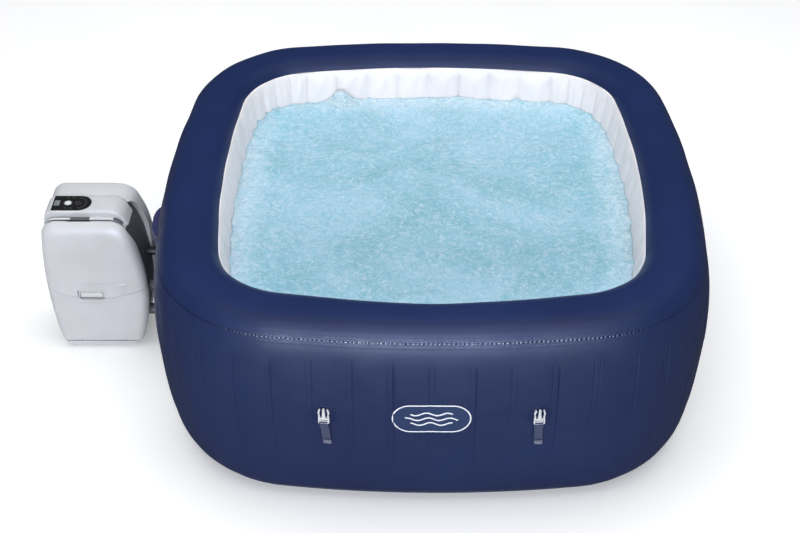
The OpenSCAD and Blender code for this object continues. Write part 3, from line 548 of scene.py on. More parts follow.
class Section:
    """The wall's section, run from the foot up the outer side, over the top and down the basin side."""

    def __init__(self):
        a = np.radians(np.linspace(FOOT_A - 360, FOOT_A, 24001))
        half_t, half_h = WALL_T / 2, (TUB_H - GROUND_T) / 2
        n = half_t - half_t * np.sign(np.cos(a)) * np.abs(np.cos(a)) ** (2 / POWER)
        z = GROUND_T + half_h + half_h * np.sign(np.sin(a)) * np.abs(np.sin(a)) ** (2 / POWER)
        n = n + TAPER * (1 - n / WALL_T) * np.maximum(0, 1 - z / TAPER_TOP)
        run = np.concatenate([[0], np.cumsum(np.hypot(np.diff(n), np.diff(z)))])
        self.s = np.linspace(0, run[-1], 1600)
        self.n, self.z = np.interp(self.s, run, n), np.interp(self.s, run, z)
        self.seam = float(np.interp(math.radians(SEAM_A), a, run))
        self.rim = float(np.interp(math.radians(RIM_A), a, run))
        self.end = float(run[-1])
        dn, dz = np.gradient(self.n, self.s), np.gradient(self.z, self.s)
        size = np.hypot(dn, dz)
        self.out_n, self.out_z = -dz / size, dn / size
        top = int(np.argmax(self.z))
        self.outer, self.inner = slice(0, top), slice(top, None)

    def at(self, s):
        return [np.interp(s, self.s, v) for v in (self.n, self.z, self.out_n, self.out_z)]

    def outer_s(self, z):
        """Where on the outer side the section reaches a height."""
        keep = self.z[self.outer] > 0.02
        return np.interp(z, self.z[self.outer][keep], self.s[self.outer][keep])

    def inner_s(self, z):
        keep = self.z[self.inner] > 0.02
        return np.interp(z, self.z[self.inner][keep][::-1], self.s[self.inner][keep][::-1])


class Ring:
    """Stations round the tub, at shares of each cell between two beams; the beam itself is at 0.5."""

    def __init__(self, local):
        rows = []
        length = 0.0
        cell = 0
        for quarter in range(4):
            turn = quarter * math.pi / 2
            c, s = math.cos(turn), math.sin(turn)
            arcs = (
                (CORNER_C, CORNER_C, CORNER_R, math.pi / 2 - JOIN_A, JOIN_A, CORNER_BEAMS),
                (0.0, -BOW_D, BOW_R, JOIN_A, math.pi - JOIN_A, SIDE_BEAMS),
            )
            for cx, cy, radius, start, end, beams in arcs:
                step = (end - start) / beams
                for k in range(beams):
                    for t in local:
                        a = start + (k + t) * step
                        centre = (cx * c - cy * s, cx * s + cy * c)
                        rows.append((*centre, radius, a + turn, t, cell, length + t * step * radius))
                    length += step * radius
                    cell += 1
        self.cx, self.cy, self.radius, self.a, self.t, cells, self.arc = np.array(rows).T
        self.cell = cells.astype(int)
        self.length = length
        self.part = self.arc / length
        self.ux, self.uy = np.cos(self.a), np.sin(self.a)

        reach = self.radius - 0.2
        bearing = np.arctan2(self.cy + reach * self.uy, self.cx + reach * self.ux)
        where = bearing % (2 * math.pi) / (math.pi / 4)
        step = where.astype(int)
        share = (where - step) ** 2 * (3 - 2 * (where - step))
        self.sag = BASIN_SAG[step] * (1 - share) + BASIN_SAG[(step + 1) % 8] * share

    def drift(self, n, z):
        """How far the basin's wall has settled inward, eased in below the top ring."""
        return self.sag * smooth(n, 0.08, 0.20) * smooth(z, 0.40, 0.60)

    def points(self, n, z):
        """Points at a distance in and a height, as arrays whose last axis is the stations."""
        reach = self.radius - n
        x, y = self.cx + reach * self.ux, self.cy + reach * self.uy
        return np.stack([x, y, np.broadcast_to(z, reach.shape)], -1)


# Inward settling of the basin's wall, from the pump's far side (+X) round by the rear in eighths of a turn.
BASIN_SAG = np.array([3.0, 0.0, -6.0, 4.0, 12.0, 14.0, -12.0, 12.0]) * MM
SECTION = Section()
BEAM_PULL = rng.uniform(0.55, 1.25, CELLS)
BEAM_TOP = rng.uniform(-0.012, 0.012, CELLS)
CELL_PUFF = rng.uniform(-0.5, 0.5, CELLS)
LINE_SIDE = rng.uniform(-1.0, 1.0, CELLS)


def smooth(x, low, high):
    t = np.clip((x - low) / (high - low), 0, 1)
    return t * t * (3 - 2 * t)


def waves(seed, part, v, count, low, high, reach):
    """Smooth seamless undulation round the tub, roughly from -1 to 1."""
    draw = np.random.default_rng(seed)
    total = np.zeros(np.broadcast(part, v).shape)
    for _ in range(count):
        k = draw.integers(low, high)
        phase = 2 * math.pi * (k * part + draw.uniform(-reach, reach) * v)
        total = total + np.cos(phase + draw.uniform(0, 6.28))
    return total / math.sqrt(count)


STRIP = 0.0085
BEAM_SHARES = np.array([0, 1.5, 3.5, 5.5, 6.7, 7.6, 8.5, 9.4, 10.3, 11.5, 14, 18, 24, 32, 42, 51]) / 120
CELL_SHARES = np.concatenate([BEAM_SHARES, [0.5], 1 - BEAM_SHARES[:0:-1]])


def crease(ring):
    """The nearest beam, how near it is (0 to 1), and the two fine grooves beside its weld strip."""
    beam = np.where(ring.t < 0.5, ring.cell, (ring.cell + 1) % CELLS)
    across = (ring.t - np.round(ring.t)) * 0.12
    broad = 1 - np.abs(np.sin(math.pi * ring.t)) ** 0.9
    left = np.exp(-(((across + STRIP) / 0.0018) ** 2))
    right = np.exp(-(((across - STRIP) / 0.0018) ** 2))
    return beam, broad, left * (0.6 + 0.4 * LINE_SIDE[beam]) + right * (0.6 - 0.4 * LINE_SIDE[beam])


def outer_push(ring, s):
    """How far the outer skins stand off the plain section, outward, at section positions s (a column)."""
    n, z, _, _ = SECTION.at(s)
    outside = s < SECTION.s[SECTION.outer][-1]
    beam, broad, line = crease(ring)
    top = 0.602 + BEAM_TOP[beam]
    fade = smooth(z, top, top - 0.035) * smooth(z, 0.02, 0.09)
    pull = BEAM_PULL[beam]
    drawn = smooth(z, 0.64, 0.52) * smooth(z, 0.02, 0.09)
    push = -0.0026 * broad * pull * drawn - 0.0030 * line * pull * fade * (0.35 + 0.65 * smooth(z, 0.1, 0.55))
    push = push - 0.0010 * drawn * (1 - broad) * (0.5 + CELL_PUFF[ring.cell])
    push = push + 0.0009 * waves(4, ring.part, s, 8, 8, 30, 2.0) * smooth(z, 0.45, 0.62) - 0.0004
    return np.where(outside | (z > 0.3), push, 0) * smooth(z, 0.0, 0.03)


def inner_push(ring, s):
    """The same for the basin side, where the beams show as ribs."""
    n, z, _, _ = SECTION.at(s)
    rib = 1 - np.abs(np.sin(math.pi * ring.t)) ** 0.6
    line = np.exp(-(((ring.t - np.round(ring.t)) * 0.12 / 0.006) ** 2))
    pull = BEAM_PULL[crease(ring)[0]]
    fade = smooth(z, 0.664, 0.615) * smooth(z, 0.04, 0.14)
    push = -(0.0090 * rib + 0.0014 * line) * pull * fade
    fold = 0.5 * np.sin(2 * math.pi * (ring.t * 2 + z * 6 + CELL_PUFF[ring.cell])) * np.sin(math.pi * ring.t)
    push = push + (0.0022 * fold + 0.0008 * waves(6, ring.part, s, 10, 60, 220, 9.0)) * fade
    return push - 0.0004


def skin(name, ring, s0, s1, rows, push, ends=1.0):
    """A skin panel all round between two places on the section, tucked in under the perimeter weld."""
    u = np.linspace(-1, 1, rows)
    u = np.sign(u) * (1 - (1 - np.abs(u)) ** ends)
    s = (s0 + (s1 - s0) * (u + 1) / 2)[:, None]
    n, z, out_n, out_z = SECTION.at(s)
    off = push(ring, s) - 0.0022 * smooth(np.abs(s - SECTION.seam), 0.0078, 0.0052)
    n, z = n + off * out_n, z + off * out_z
    points = ring.points(n + ring.drift(n, z), z)
    uv = np.stack([np.broadcast_to(ring.arc, off.shape), np.broadcast_to(s - SECTION.seam, off.shape)], -1)
    return grid_object(name, points, wrap_cols=True, uv=uv)


def tub_skins():
    ring = Ring(CELL_SHARES)
    outer = thicken(skin("outer_wall_skin", ring, 0.0, SECTION.seam, 72, outer_push, 1.6), SKIN_T)
    place(outer, "navy", replaces=["outer_wall"])
    top = thicken(skin("top_ring_skin", ring, SECTION.seam, SECTION.rim, 50, outer_push, 1.6), SKIN_T)
    place(top, "navy", replaces=["top_ring"])
    inner = thicken(skin("inner_wall_skin", ring, SECTION.rim, SECTION.end, 56, inner_push, 1.2), SKIN_T)
    place(inner, "liner", replaces=["inner_wall"])
    return ring


def beam_sheets(ring):
    """The sheets that tie the two walls together, drawn in with the skins that they are welded to."""
    s = np.concatenate([np.linspace(SECTION.outer_s(0.06), SECTION.outer_s(0.64), 30),
                        np.linspace(SECTION.inner_s(0.64), SECTION.inner_s(0.06), 30)])
    n, z, out_n, out_z = SECTION.at(s)
    n, z = n - 0.0105 * out_n, z - 0.0105 * out_z
    sag = smooth(n, 0.08, 0.20) * smooth(z, 0.40, 0.60)
    verts, faces = [], []
    ports = [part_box(name) for name in ("inlet_port", "outlet_port", "air_port")]
    for k in np.flatnonzero(ring.t < 1e-6):
        y = ring.cy[k] + ring.radius[k] * ring.uy[k]
        if ring.ux[k] < -0.9 and any(low.y - 0.004 < y < high.y + 0.004 for low, high in ports):
            continue
        reach = ring.radius[k] - n - ring.sag[k] * sag
        edge = np.stack([ring.cx[k] + reach * ring.ux[k], ring.cy[k] + reach * ring.uy[k], z], -1)
        side = np.array([-ring.uy[k], ring.ux[k], 0]) * 0.0004
        start = len(verts)
        verts += [*(edge - side), *(edge + side)]
        count = len(edge)
        faces += [[start + i for i in range(count)], [start + count + i for i in range(count)][::-1]]
        for i in range(count):
            after = (i + 1) % count
            faces.append([start + i, start + i + count, start + after + count, start + after])
    place(new_object("beam_sheets", np.array(verts), faces, smooth=False), "beam", replaces=["wall_beams"])


def perimeter_weld():
    """The weld between the outer wall and the top ring: a narrow strip pinched into small gathers."""
    ring = Ring((np.arange(72) + 0.5) / 72)
    across = np.linspace(-0.0085, 0.0085, 19)[:, None]
    s = SECTION.seam + across + 0.0004 * waves(5, ring.part, np.array(0.0), 8, 40, 160, 1.0)
    n, z, out_n, out_z = SECTION.at(s)
    beat = 2 * math.pi * ring.arc / 0.013 + 0.9 * waves(9, ring.part, np.array(0.0), 5, 60, 190, 0.0)
    gather = smooth(np.cos(beat), -0.2, 0.8)
    middle = np.exp(-((across / 0.0026) ** 2))
    flank = np.exp(-(((np.abs(across) - 0.0045) / 0.0022) ** 2))
    push = outer_push(ring, s) + 0.0001 - 0.0003 * smooth(np.abs(across), 0.0020, 0.0085)
    push = push - (0.0001 + 0.0010 * gather) * middle + 0.0001 * np.cos(beat + 2.0) * flank
    push = push + 0.00008 * waves(3, ring.part, s, 12, 300, 700, 6.0) * smooth(np.abs(across), 0.0085, 0.004)
    n, z = n + push * out_n, z + push * out_z
    uv = np.stack([np.broadcast_to(ring.arc, push.shape), np.broadcast_to(across, push.shape)], -1)
    made = grid_object("perimeter_weld", ring.points(n + ring.drift(n, z), z), wrap_cols=True, uv=uv)
    place(thicken(made, 0.0016), "weld", replaces=["perimeter_welt"])


def squircle_sheet(name, size, outline, height, base=None):
    """A square grid drawn out to an outline; height(x, y, reach) gives the top, base the underside."""
    u = np.linspace(-1, 1, size)
    gx, gy = np.meshgrid(u, u)
    reach = np.maximum(np.abs(gx), np.abs(gy))
    side = np.where(reach > 0, reach, 1)
    a, b = gx / side, gy / side
    part = np.select(
        [(a >= 1) & (b > -1), (b >= 1), (a <= -1), (b <= -1)],
        [(b + 1) / 8, (1 - a) / 8 + 0.25, (1 - b) / 8 + 0.5, (a + 1) / 8 + 0.75],
    )
    edge = outline(part % 1.0)
    xy = edge * reach[..., None]
    top = np.dstack([xy, height(xy[..., 0], xy[..., 1], reach)])
    verts = top.reshape(-1, 3)
    faces = grid_faces(size, size)
    if base is not None:
        under = verts.copy()
        under[:, 2] = base
        count = size * size
        border = [*range(size), *[r * size + size - 1 for r in range(1, size)]]
        border += [(size - 1) * size + c for c in range(size - 2, -1, -1)]
        border += [r * size for r in range(size - 2, 0, -1)]
        faces += [[i + count for i in f[::-1]] for f in grid_faces(size, size)]
        faces += [[a, a + count, b + count, b] for a, b in zip(border[-1:] + border[:-1], border)]
        verts = np.concatenate([verts, under])
    return sealed(new_object(name, verts, faces))


def outline_at(ring, n):
    """The plan outline, drawn in by n, as a function of the share of the way round from the -Y, +X corner."""
    points = ring.points(np.broadcast_to(n, ring.arc.shape), 0.0)[:, :2]
    start = int(np.argmin(np.abs(np.arctan2(points[:, 1], points[:, 0]) + math.pi / 4)))
    points = np.roll(points, -start, axis=0)
    points = np.vstack([points, points[:1]])
    run = np.concatenate([[0], np.cumsum(np.hypot(*np.diff(points, axis=0).T))])
    run /= run[-1]

    def outline(part):
        return np.stack([np.interp(part, run, points[:, 0]), np.interp(part, run, points[:, 1])], -1)

    return outline


def plane_waves(seed, x, y, count, low, high):
    """A sum of plane waves in all directions, roughly from -1 to 1, with wavelengths from low to high."""
    draw = np.random.default_rng(seed)
    total = 0
    for _ in range(count):
        turn, size = draw.uniform(0, 6.28), draw.uniform(low, high)
        phase = 2 * math.pi * (x * math.cos(turn) + y * math.sin(turn)) / size
        total = total + np.cos(phase + draw.uniform(0, 6.28))
    return total / math.sqrt(count)


def water(ring):
    """Churned water that fills the basin, with a low hump of froth by the rear wall."""
    s = SECTION.inner_s(WATER_Z)
    n, _, out_n, _ = SECTION.at(s)
    edge = n + inner_push(ring, np.array([[s]]))[0] * out_n + 0.0006
    edge = edge + ring.drift(edge, WATER_Z)

    def height(x, y, reach):
        chop = plane_waves(11, x, y, 14, 0.06, 0.16) * 0.0014
        chop = chop + plane_waves(12, x, y, 26, 0.018, 0.045) * 0.0011
        swell = plane_waves(13, x, y, 6, 0.25, 0.6) * 0.0030
        boil = smooth(reach, 0.70, 0.97)
        peaks = np.maximum(0, plane_waves(14, x, y, 16, 0.04, 0.10)) ** 2 * 0.0022
        peaks = peaks * boil * smooth(y, -0.3, 0.5)
        hump = 0.052 * np.exp(-(((x + 0.33) / 0.042) ** 2 + ((y - 0.625) / 0.05) ** 2))
        rear = 0.006 * np.exp(-(((x + 0.1) / 0.16) ** 2 + ((y - 0.6) / 0.05) ** 2))
        rear = rear + 0.010 * smooth(y, 0.42, 0.64)
        return WATER_Z + chop * (0.7 + 0.5 * boil) + swell + peaks + hump + rear

    made = squircle_sheet("water", 261, outline_at(ring, edge), height, GROUND_T + SKIN_T + 0.001)
    place(made, "water")


def flat_sheets(ring):
    """The ground sheet and the basin's floor, both slightly rumpled laminate."""
    low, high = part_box("ground_sheet")
    under = squircle_sheet(
        "ground_sheet_laminate", 61, outline_at(ring, HALF_W + 0.014 - high.x),
        lambda x, y, r: high.z - 0.0006 + 0.0005 * np.clip(plane_waves(21, x, y, 10, 0.1, 0.3), -1, 1), low.z,
    )
    place(under, "ground", replaces=["ground_sheet"])
    low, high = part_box("floor_liner")
    inset = (2 * HALF_W - (high.x - low.x)) / 2
    floor = squircle_sheet(
        "floor_liner_laminate", 61, outline_at(ring, inset),
        lambda x, y, r: high.z - 0.0005 + 0.0004 * np.clip(plane_waves(22, x, y, 10, 0.1, 0.3), -1, 1), low.z,
    )
    place(floor, "liner", replaces=["floor_liner"])


# ---- Things on the wall --------------------------------------------------------------------


class WallSpot:
    """Places on the outer wall: along it, up from a height, out from its skin. Side 0 is +Y, 1 -X, 2 -Y."""

    def __init__(self, side, along, z):
        self.side, self.along, self.z = side, along, z
        turn = math.pi / 2 * side
        self.turn = turn
        self.angle = math.pi / 2 - math.asin(along / BOW_R)

    def surface(self, across, up, out):
        """Points on the displaced skin, pushed out by out. across follows the bow in plan."""
        across, up, out = np.broadcast_arrays(*[np.asarray(v, float) for v in (across, up, out)])
        a = self.angle - across / BOW_R
        t = (a - JOIN_A) / ((math.pi - 2 * JOIN_A) / SIDE_BEAMS)
        cell = np.clip(np.floor(t).astype(int), 0, SIDE_BEAMS - 1)
        spots = SimpleRing(self.side, a, t - cell, cell)
        z = self.z + up
        s = SECTION.outer_s(z)
        n, _, out_n, out_z = SECTION.at(s)
        off = outer_push(spots, s) + out
        reach = BOW_R - (n + off * out_n)
        x, y = reach * np.cos(a), reach * np.sin(a) - BOW_D
        c, sn = math.cos(self.turn), math.sin(self.turn)
        return np.stack([x * c - y * sn, x * sn + y * c, z + off * out_z], -1)

    def frame(self):
        """The plain skin's point here, and unit vectors across, out and up."""
        n, _, _, _ = SECTION.at(SECTION.outer_s(self.z))
        a = self.angle + self.turn
        c, sn = math.cos(self.turn), math.sin(self.turn)
        centre = Vector((BOW_D * sn, -BOW_D * c, 0))
        out = Vector((math.cos(a), math.sin(a), 0))
        place_ = centre + out * (BOW_R - float(n))
        place_.z = self.z
        return place_, Vector((out.y, -out.x, 0)), out, Vector((0, 0, 1))


class SimpleRing:
    """The part of Ring that outer_push reads, at any places along one straight side."""

    def __init__(self, side, a, t, cell):
        self.t = t
        first = side * (SIDE_BEAMS + CORNER_BEAMS) + CORNER_BEAMS
        self.cell = cell + first
        side_l = (math.pi - 2 * JOIN_A) * BOW_R
        corner_l = (2 * JOIN_A - math.pi / 2) * CORNER_R
        arc = side * (side_l + corner_l) + corner_l + (a - JOIN_A) * BOW_R
        self.part = arc / (4 * (side_l + corner_l))


def wall_plate(name, spot, outline, lift, thick, rings=14, dome=0.0):
    """A thin plate that follows the wall. outline is (across, up) points; the grid shrinks to its middle."""
    outline = np.array(outline)
    middle = outline.mean(0)
    steps = np.linspace(0.001, 1, rings)[:, None, None]
    flat = middle + (outline - middle)[None] * steps
    edge = np.clip((1 - steps[:, :, 0]) / 0.06, 0, 1)
    out = lift + thick * (0.35 + 0.65 * np.sqrt(edge)) + dome * (1 - steps[:, :, 0] ** 2)
    top = spot.surface(flat[..., 0], flat[..., 1], out)
    under = spot.surface(flat[-1:, :, 0], flat[-1:, :, 1], np.full((1, len(outline)), lift))
    back = spot.surface(flat[:1, :, 0], flat[:1, :, 1], np.full((1, len(outline)), lift))
    made = grid_object(name, np.concatenate([top, under, back]), wrap_cols=True)
    return crisp(sealed(made, ends=(len(outline), rings + 1)), 50.0)


def wall_ribbon(name, spot, path, width, lift, thick, closed=True):
    """A thin printed line that follows the wall. path is (across, up) points."""
    path = np.array(path)
    around = np.vstack([path[-1:], path, path[:1]]) if closed else np.vstack([path[:1], path, path[-1:]])
    tangent = around[2:] - around[:-2]
    tangent /= np.linalg.norm(tangent, axis=1)[:, None]
    side = np.stack([-tangent[:, 1], tangent[:, 0]], -1) * width / 2
    rows = []
    for share, rise in ((-1, 0), (-1, 0.6), (-0.7, 1), (0.7, 1), (1, 0.6), (1, 0)):
        p = path + side * share
        rows.append(spot.surface(p[:, 0], p[:, 1], lift + thick * rise))
    rows.append(rows[0])
    points = np.array(rows)
    return sealed(grid_object(name, points, wrap_cols=closed), merge=1e-7, fill=not closed)


def stadium(width, height, steps=96):
    """The outline of a long shape with half-round ends."""
    r = height / 2
    points = []
    for i in range(steps):
        a = 2 * math.pi * i / steps
        shift = width / 2 - r
        points.append((math.copysign(shift, math.cos(a)) + r * math.cos(a), r * math.sin(a)))
    return fill_gaps(points, 0.006)


def circle(r, steps=64):
    return [(r * math.cos(a), r * math.sin(a)) for a in np.linspace(0, 2 * math.pi, steps, endpoint=False)]


def fill_gaps(points, step):
    """Adds points so that no stretch of a closed outline is longer than step."""
    out = []
    for (x0, y0), (x1, y1) in zip(points, points[1:] + points[:1]):
        count = max(1, int(math.hypot(x1 - x0, y1 - y0) / step))
        out += [(x0 + (x1 - x0) * k / count, y0 + (y1 - y0) * k / count) for k in range(count)]
    return out


def badge():
    """A blank badge with an outline and three waves."""
    spot = WallSpot(2, 0.0, 0.396)
    wide, tall = 0.236, 0.112
    plate = wall_plate("emblem_plate", spot, stadium(wide, tall), 0.0004, 0.0007)
    place(plate, "badge", replaces=["emblem_patch"])
    ring_path = stadium(wide - 0.006, tall - 0.006)
    lines = [wall_ribbon("emblem_line", spot, ring_path, 0.0042, 0.0010, 0.0008)]
    for row, (level, half) in enumerate(((0.020, 0.062), (0.0, 0.078), (-0.020, 0.062))):
        x = np.linspace(-half, half, 60)
        path = np.stack([x, level + 0.0052 * np.sin(x / 0.0315 * math.pi + row * 0.6)], -1)
        lines.append(wall_ribbon("wave_line", spot, path, 0.0046, 0.0012, 0.0012, closed=False))
    place(join("emblem_print", lines), "print")


BUCKLES = {
    "front_left": (2, 0.316, -6.0), "front_right": (2, -0.316, -1.5),
    "rear_left": (0, -0.316, -2.5), "rear_right": (0, 0.316, 3.0),
}
BUCKLE_Z = 0.407
BUCKLE_H = 0.064
BAR_OUT = 0.009
BAR_UP = 0.005


def local_matrix(spot, out=0.0):
    """Local X across, Y out of the wall, Z up."""
    origin, across, outward, upward = spot.frame()
    matrix = Matrix((across, outward, upward)).transposed().to_4x4()
    return Matrix.Translation(origin + outward * out) @ matrix


def filled_plate(name, outlines, thick, bevel):
    """A flat plate in local X and Z with rounded edges; of its closed outlines the later ones are holes."""
    data = bpy.data.curves.new(name, "CURVE")
    data.dimensions = "2D"
    data.fill_mode = "BOTH"
    data.extrude = thick / 2 - bevel
    data.bevel_depth = bevel
    data.bevel_resolution = 2
    data.offset = -bevel
    for outline in outlines:
        spline = data.splines.new("POLY")
        spline.points.add(len(outline) - 1)
        for point, (x, z) in zip(spline.points, outline):
            point.co = (x, z, 0, 1)
        spline.use_cyclic_u = True
    curve = bpy.data.objects.new(name, data)
    bpy.context.scene.collection.objects.link(curve)
    bpy.context.view_layer.update()
    mesh = bpy.data.meshes.new_from_object(curve.evaluated_get(bpy.context.evaluated_depsgraph_get()))
    bpy.data.objects.remove(curve)
    mesh.transform(Matrix.Rotation(math.pi / 2, 4, "X"))
    made = bpy.data.objects.new(name, mesh)
    bpy.context.scene.collection.objects.link(made)
    return crisp(sealed(made, merge=1e-6), 40.0)


def rounded_rect(x0, z0, x1, z1, r, steps=5):
    points = []
    left, right, low, high = x0 + r, x1 - r, z0 + r, z1 - r
    for cx, cz, a0 in ((right, high, 0), (left, high, 90), (left, low, 180), (right, low, 270)):
        for k in range(steps + 1):
            a = math.radians(a0 + 90 * k / steps)
            points.append((cx + r * math.cos(a), cz + r * math.sin(a)))
    return points


def curved(points, steps=6):
    """A closed smooth outline through given points (Catmull-Rom)."""
    out = []
    count = len(points)
    for i in range(count):
        p0, p1, p2, p3 = [np.array(points[(i + k - 1) % count]) for k in range(4)]
        for k in range(steps):
            t = k / steps
            square, cube = 2 * p0 - 5 * p1 + 4 * p2 - p3, 3 * p1 - p0 - 3 * p2 + p3
            out.append(tuple(0.5 * (2 * p1 + (p2 - p0) * t + square * t**2 + cube * t**3)))
    return out


def buckle(name):
    """The prong half: a slotted frame, a middle guide and two sprung side prongs."""
    side, along, lean = BUCKLES[name]
    half, foot = 0.019, -BUCKLE_H / 2
    body = filled_plate(
        "frame",
        [
            rounded_rect(-half, foot + 0.0022, half, foot + 0.024, 0.003),
            rounded_rect(-half + 0.0045, foot + 0.0060, half - 0.0045, foot + 0.0105, 0.0012)[::-1],
            rounded_rect(-half + 0.0045, foot + 0.0145, half - 0.0045, foot + 0.0180, 0.0012)[::-1],
        ],
        0.0088, 0.0012,
    )
    guide = filled_plate(
        "guide",
        [curved([(-0.0062, foot + 0.022), (-0.0050, foot + 0.040), (-0.0034, foot + 0.0615),
                 (0.0, foot + 0.064), (0.0034, foot + 0.0615), (0.0050, foot + 0.040),
                 (0.0062, foot + 0.022)])],
        0.0056, 0.001,
    )
    prongs = []
    for flip in (-1, 1):
        shape = [(0.0125, 0.022), (0.0122, 0.032), (0.0138, 0.041), (0.0128, 0.052), (0.0105, 0.0575),
                 (0.0130, 0.0615), (0.0165, 0.0590), (0.0188, 0.0520), (0.0200, 0.0450), (0.0176, 0.0385),
                 (0.0182, 0.030), (0.0180, 0.022)]
        outline = curved([(flip * x, foot + z) for x, z in shape])
        prongs.append(filled_plate("prong", [outline if flip > 0 else outline[::-1]], 0.0070, 0.001))
    made = join(name + "_buckle_moulding", [body, guide, *prongs])
    up, down = Matrix.Translation((0, 0, foot)), Matrix.Translation((0, 0, -foot))
    made.data.transform(up @ Matrix.Diagonal((0.88, 1, 0.9, 1)) @ down)
    spot = WallSpot(side, along, BUCKLE_Z)
    made.data.transform(local_matrix(spot, BAR_OUT))
    crisp(made, 40.0)
    place(made, "buckle", name + "_clip", [name + "_buckle"])


def ribbon_solid(name, path, width, thick, lean=0.0, fan=None):
    """Webbing along a path of (out, up) points, solid and slightly cupped, with a UV map in metres."""
    path = np.array(path)
    tangent = np.gradient(path, axis=0)
    tangent /= np.linalg.norm(tangent, axis=1)[:, None]
    normal = np.stack([-tangent[:, 1], tangent[:, 0]], -1)
    run = np.concatenate([[0], np.cumsum(np.linalg.norm(np.diff(path, axis=0), axis=1))])
    cross = [(-1, 0.0), (-0.97, 0.45), (-0.85, 0.5), (0, 0.5), (0.85, 0.5), (0.97, 0.45), (1, 0.0),
             (0.97, -0.45), (0.85, -0.5), (0, -0.5), (-0.85, -0.5), (-0.97, -0.45)]
    points, uv = [], []
    for i, (p, m) in enumerate(zip(path, normal)):
        shift = lean * (path[0, 1] - p[1]) if fan is None else fan(run[i])
        ring = [(x * width / 2 + shift, *(p + m * h * thick)) for x, h in cross]
        points.append(ring)
        uv.append([(x * width / 2, run[i]) for x, _ in cross])
    made = grid_object(name, np.array(points), wrap_cols=True, uv=np.array(uv))
    return crisp(sealed(made, ends=(len(cross), len(path) - 1)), 50.0)


def strap(name):
    """The webbing: round the buckle's bar, then down the wall to a folded, stitched end."""
    side, along, lean = BUCKLES[name]
    spot = WallSpot(side, along, BUCKLE_Z)
    bar_z = -BUCKLE_H / 2 + BAR_UP
    wide, thick, loop_r = 0.025, 0.0015, 0.0040
    tail = 0.089
    path = [(BAR_OUT + 0.0036 - 0.0004 * k, bar_z - 0.018 + 0.002 * k) for k in range(7)]
    for k in range(13):
        a = math.radians(-10 + 200 * k / 12)
        path.append((BAR_OUT + loop_r * math.cos(a), bar_z + loop_r * math.sin(a)))
    base_out = BAR_OUT - loop_r
    for k in range(1, 25):
        down = tail * k / 24
        path.append((base_out - 0.0012 * math.sin(k / 24 * math.pi) + 0.0010 * (k / 24) ** 3, bar_z - down))
    body = ribbon_solid("tail", path, wide, thick, lean=math.tan(math.radians(lean)))
    hem = [(base_out + 0.0022 + 0.0010, bar_z - tail + 0.001 + 0.016 * k / 6) for k in range(7)]
    shift = math.tan(math.radians(lean)) * (path[0][1] - hem[0][1])
    fold = ribbon_solid("hem", hem, wide * 0.98, thick, fan=lambda run: shift)
    stitches = []
    for level in (0.0035, 0.0085, 0.0135):
        for k in range(7):
            x = (-1 + 2 * k / 6) * wide * 0.40 + shift
            piece = rounded_rect(x - 0.0011, -0.00035, x + 0.0011, 0.00035, 0.0003, 2)
            stitch = filled_plate("stitch", [piece], 0.0010, 0.0002)
            stitch.data.transform(Matrix.Translation((0, base_out + 0.0042, bar_z - tail + level + 0.001)))
            stitches.append(stitch)
    made = join(name + "_webbing", [body, fold])
    made.data.transform(local_matrix(spot))
    crisp(made, 50.0)
    place(made, "webbing", replaces=[name + "_strap"])
    sewn = join(name + "_stitches", stitches)
    sewn.data.transform(local_matrix(spot))
    place(sewn, "print")


def patches():
    made = []
    for side, along, _ in BUCKLES.values():
        spot = WallSpot(side, along, BUCKLE_Z - 0.008)
        made.append(wall_plate("patch", spot, circle(0.038), 0.0003, 0.0012))
        made.append(wall_ribbon("weld", spot, circle(0.033), 0.0022, 0.0013, 0.0006))
    place(join("clip_patches", made), "navy_flat", replaces=["buckle_patches"])


